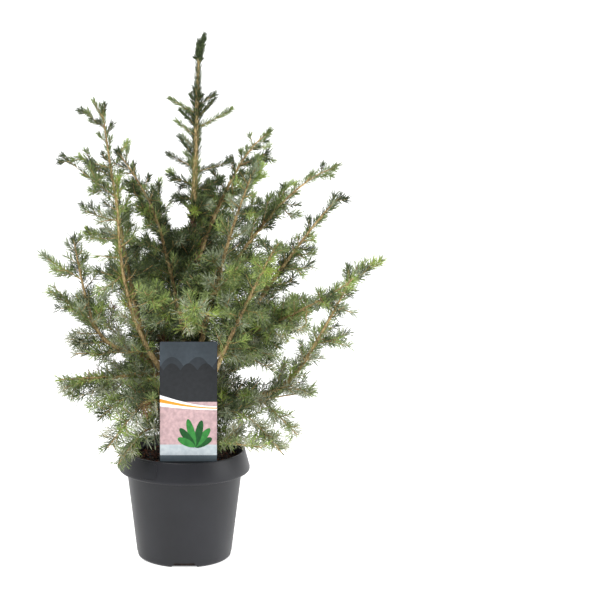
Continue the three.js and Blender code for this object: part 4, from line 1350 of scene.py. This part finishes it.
def needle_mesh(root, direction, foot, head, tangent, length, width):
    """Slightly twisted blades with a narrow foot and a blunt point, six corners each, bent a little
    forward."""
    near, far = NEEDLE_SHOULDERS
    half = width / 2
    low = root + direction * length * near
    high = root + direction * length * far + tangent * length * (NEEDLE_BEND / 2)
    tip = root + direction * length + tangent * length * NEEDLE_BEND
    foot = foot * half
    head = head * half * NEEDLE_NARROWING
    corners = np.stack([root, low - foot, low + foot, high + head, high - head, tip], axis=1)
    start = np.arange(len(root))[:, None] * 6
    ends = np.concatenate([start + [0, 2, 1], start + [4, 3, 5]])
    return corners.reshape(-1, 3), [ends, start + [1, 2, 3, 4]]


def sector_of(name):
    """Which part of the plant a limb belongs to, for joining its needles into one piece."""
    side = "left" if "left" in name else "right"
    if name in ("front_upper", "back_middle", "back_low"):
        side = "middle"
    face = "back" if name.startswith("back") else "front"
    return f"{face}_{side}"


def make_foliage(groups, needle_materials, twig_materials, random):
    """Needles and twigs of each part of the plant, each kind joined into a piece of its own."""
    stems = shown_stems()
    for name, (twigs, nodes) in groups.items():
        needles = Batch()
        wood = Batch()
        for twig in twigs:
            blades = needle_mesh(*needles_on(twig, stems, random), twig.needle["width"])
            needles.add(*blades, slot=TONES.index(twig.tone))
            if not twig.own_stem:
                continue
            thick = twig.radii[0] > THICK_STEM
            sides = THICK_STEM_SIDES if thick else THIN_STEM_SIDES
            vertices, *faces = tube_mesh(twig.points, twig.radii, sides)
            wood.add(vertices, faces, slot=0 if thick else 1)
        place_piece(needles.build("needles_" + name, needle_materials), "needles", *nodes)
        place_piece(wood.build("twigs_" + name, twig_materials, smooth=True), "bark", *nodes)


# Stage, light and camera

def link_holder(name, data, place, rotation):
    holder = bpy.data.objects.new(name, data)
    holder.location = place
    holder.rotation_euler = rotation
    bpy.context.scene.collection.objects.link(holder)
    return holder


def make_stage():
    """A pale floor that runs up into a pale backdrop, as depth and height in metres."""
    near, bend, back, high, half_width = -3.5, 2.2, 3.4, 4.0, 4.0
    turn = back - bend
    side = [(near, 0.0), (bend, 0.0)]
    side += [
        (bend + turn * math.sin(a), turn - turn * math.cos(a)) for a in np.linspace(0.1, math.pi / 2, 12)
    ]
    side += [(back, high)]
    vertices = [(x / MM, y / MM, z / MM) for y, z in side for x in (-half_width, half_width)]
    quads = [[2 * i, 2 * i + 1, 2 * i + 3, 2 * i + 2] for i in range(len(side) - 1)]
    material, _, surface = shader("pale_paper", 0.9, 0.1)
    set_inputs(surface, {"Base Color": PALE, "Emission Color": WHITE, "Emission Strength": STAGE_GLOW})
    mesh_object("floor", np.array(vertices), [quads], [material], smooth=True)


def make_light():
    """A white room and square soft lights, each facing a point."""
    world = bpy.data.worlds.new("studio")
    bpy.context.scene.world = world
    world.use_nodes = True
    set_inputs(world.node_tree.nodes["Background"], {"Color": WHITE, "Strength": WORLD_STRENGTH})
    for name, place, aim, size, power in LIGHTS:
        light = bpy.data.lights.new(name, "AREA")
        light.size = size
        light.energy = power
        towards = Vector(aim) - Vector(place)
        link_holder(name, light, place, towards.to_track_quat("-Z", "Y").to_euler())
    bpy.context.scene.view_settings.view_transform = "Standard"


def make_camera():
    camera = bpy.data.cameras.new("photo_camera")
    camera.lens = CAMERA_LENS
    camera.sensor_width = 36
    camera.shift_x = CAMERA_SHIFT
    rotation = (math.radians(90 - CAMERA_PITCH), 0, 0)
    bpy.context.scene.camera = link_holder("photo_camera", camera, CAMERA_PLACE, rotation)


def main():
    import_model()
    random = np.random.default_rng(SEED)

    old_bark, young_bark, shoot_bark = [rough_material(name, *look) for name, look in BARKS.items()]
    plastic = plastic_material()
    composts = [rough_material(name, *look) for name, look in COMPOSTS.items()]
    needles = [mottled_material("needles_" + tone, NEEDLE_WAX, *NEEDLE_COLOURS[tone]) for tone in TONES]

    make_pot(plastic)
    make_collar_panel(plastic)
    make_soil(composts, random)
    make_label()
    make_trunk(old_bark, young_bark)
    for row in LIMBS:
        row["line"] = limb_line(row)
    make_boughs(young_bark)

    groups = {}
    for index, row in enumerate(LIMBS):
        twigs, nodes = groups.setdefault(sector_of(row["name"]), ([], []))
        twigs += grow_limb(row, index, random)
        nodes.append("foliage_" + row["name"])
    groups["leader"] = (grow_leader(random), [*SLEEVES, "foliage_leader_tip"])
    make_foliage(groups, needles, [young_bark, shoot_bark], random)

    make_stage()
    make_light()
    make_camera()
    bpy.context.view_layer.update()


main()
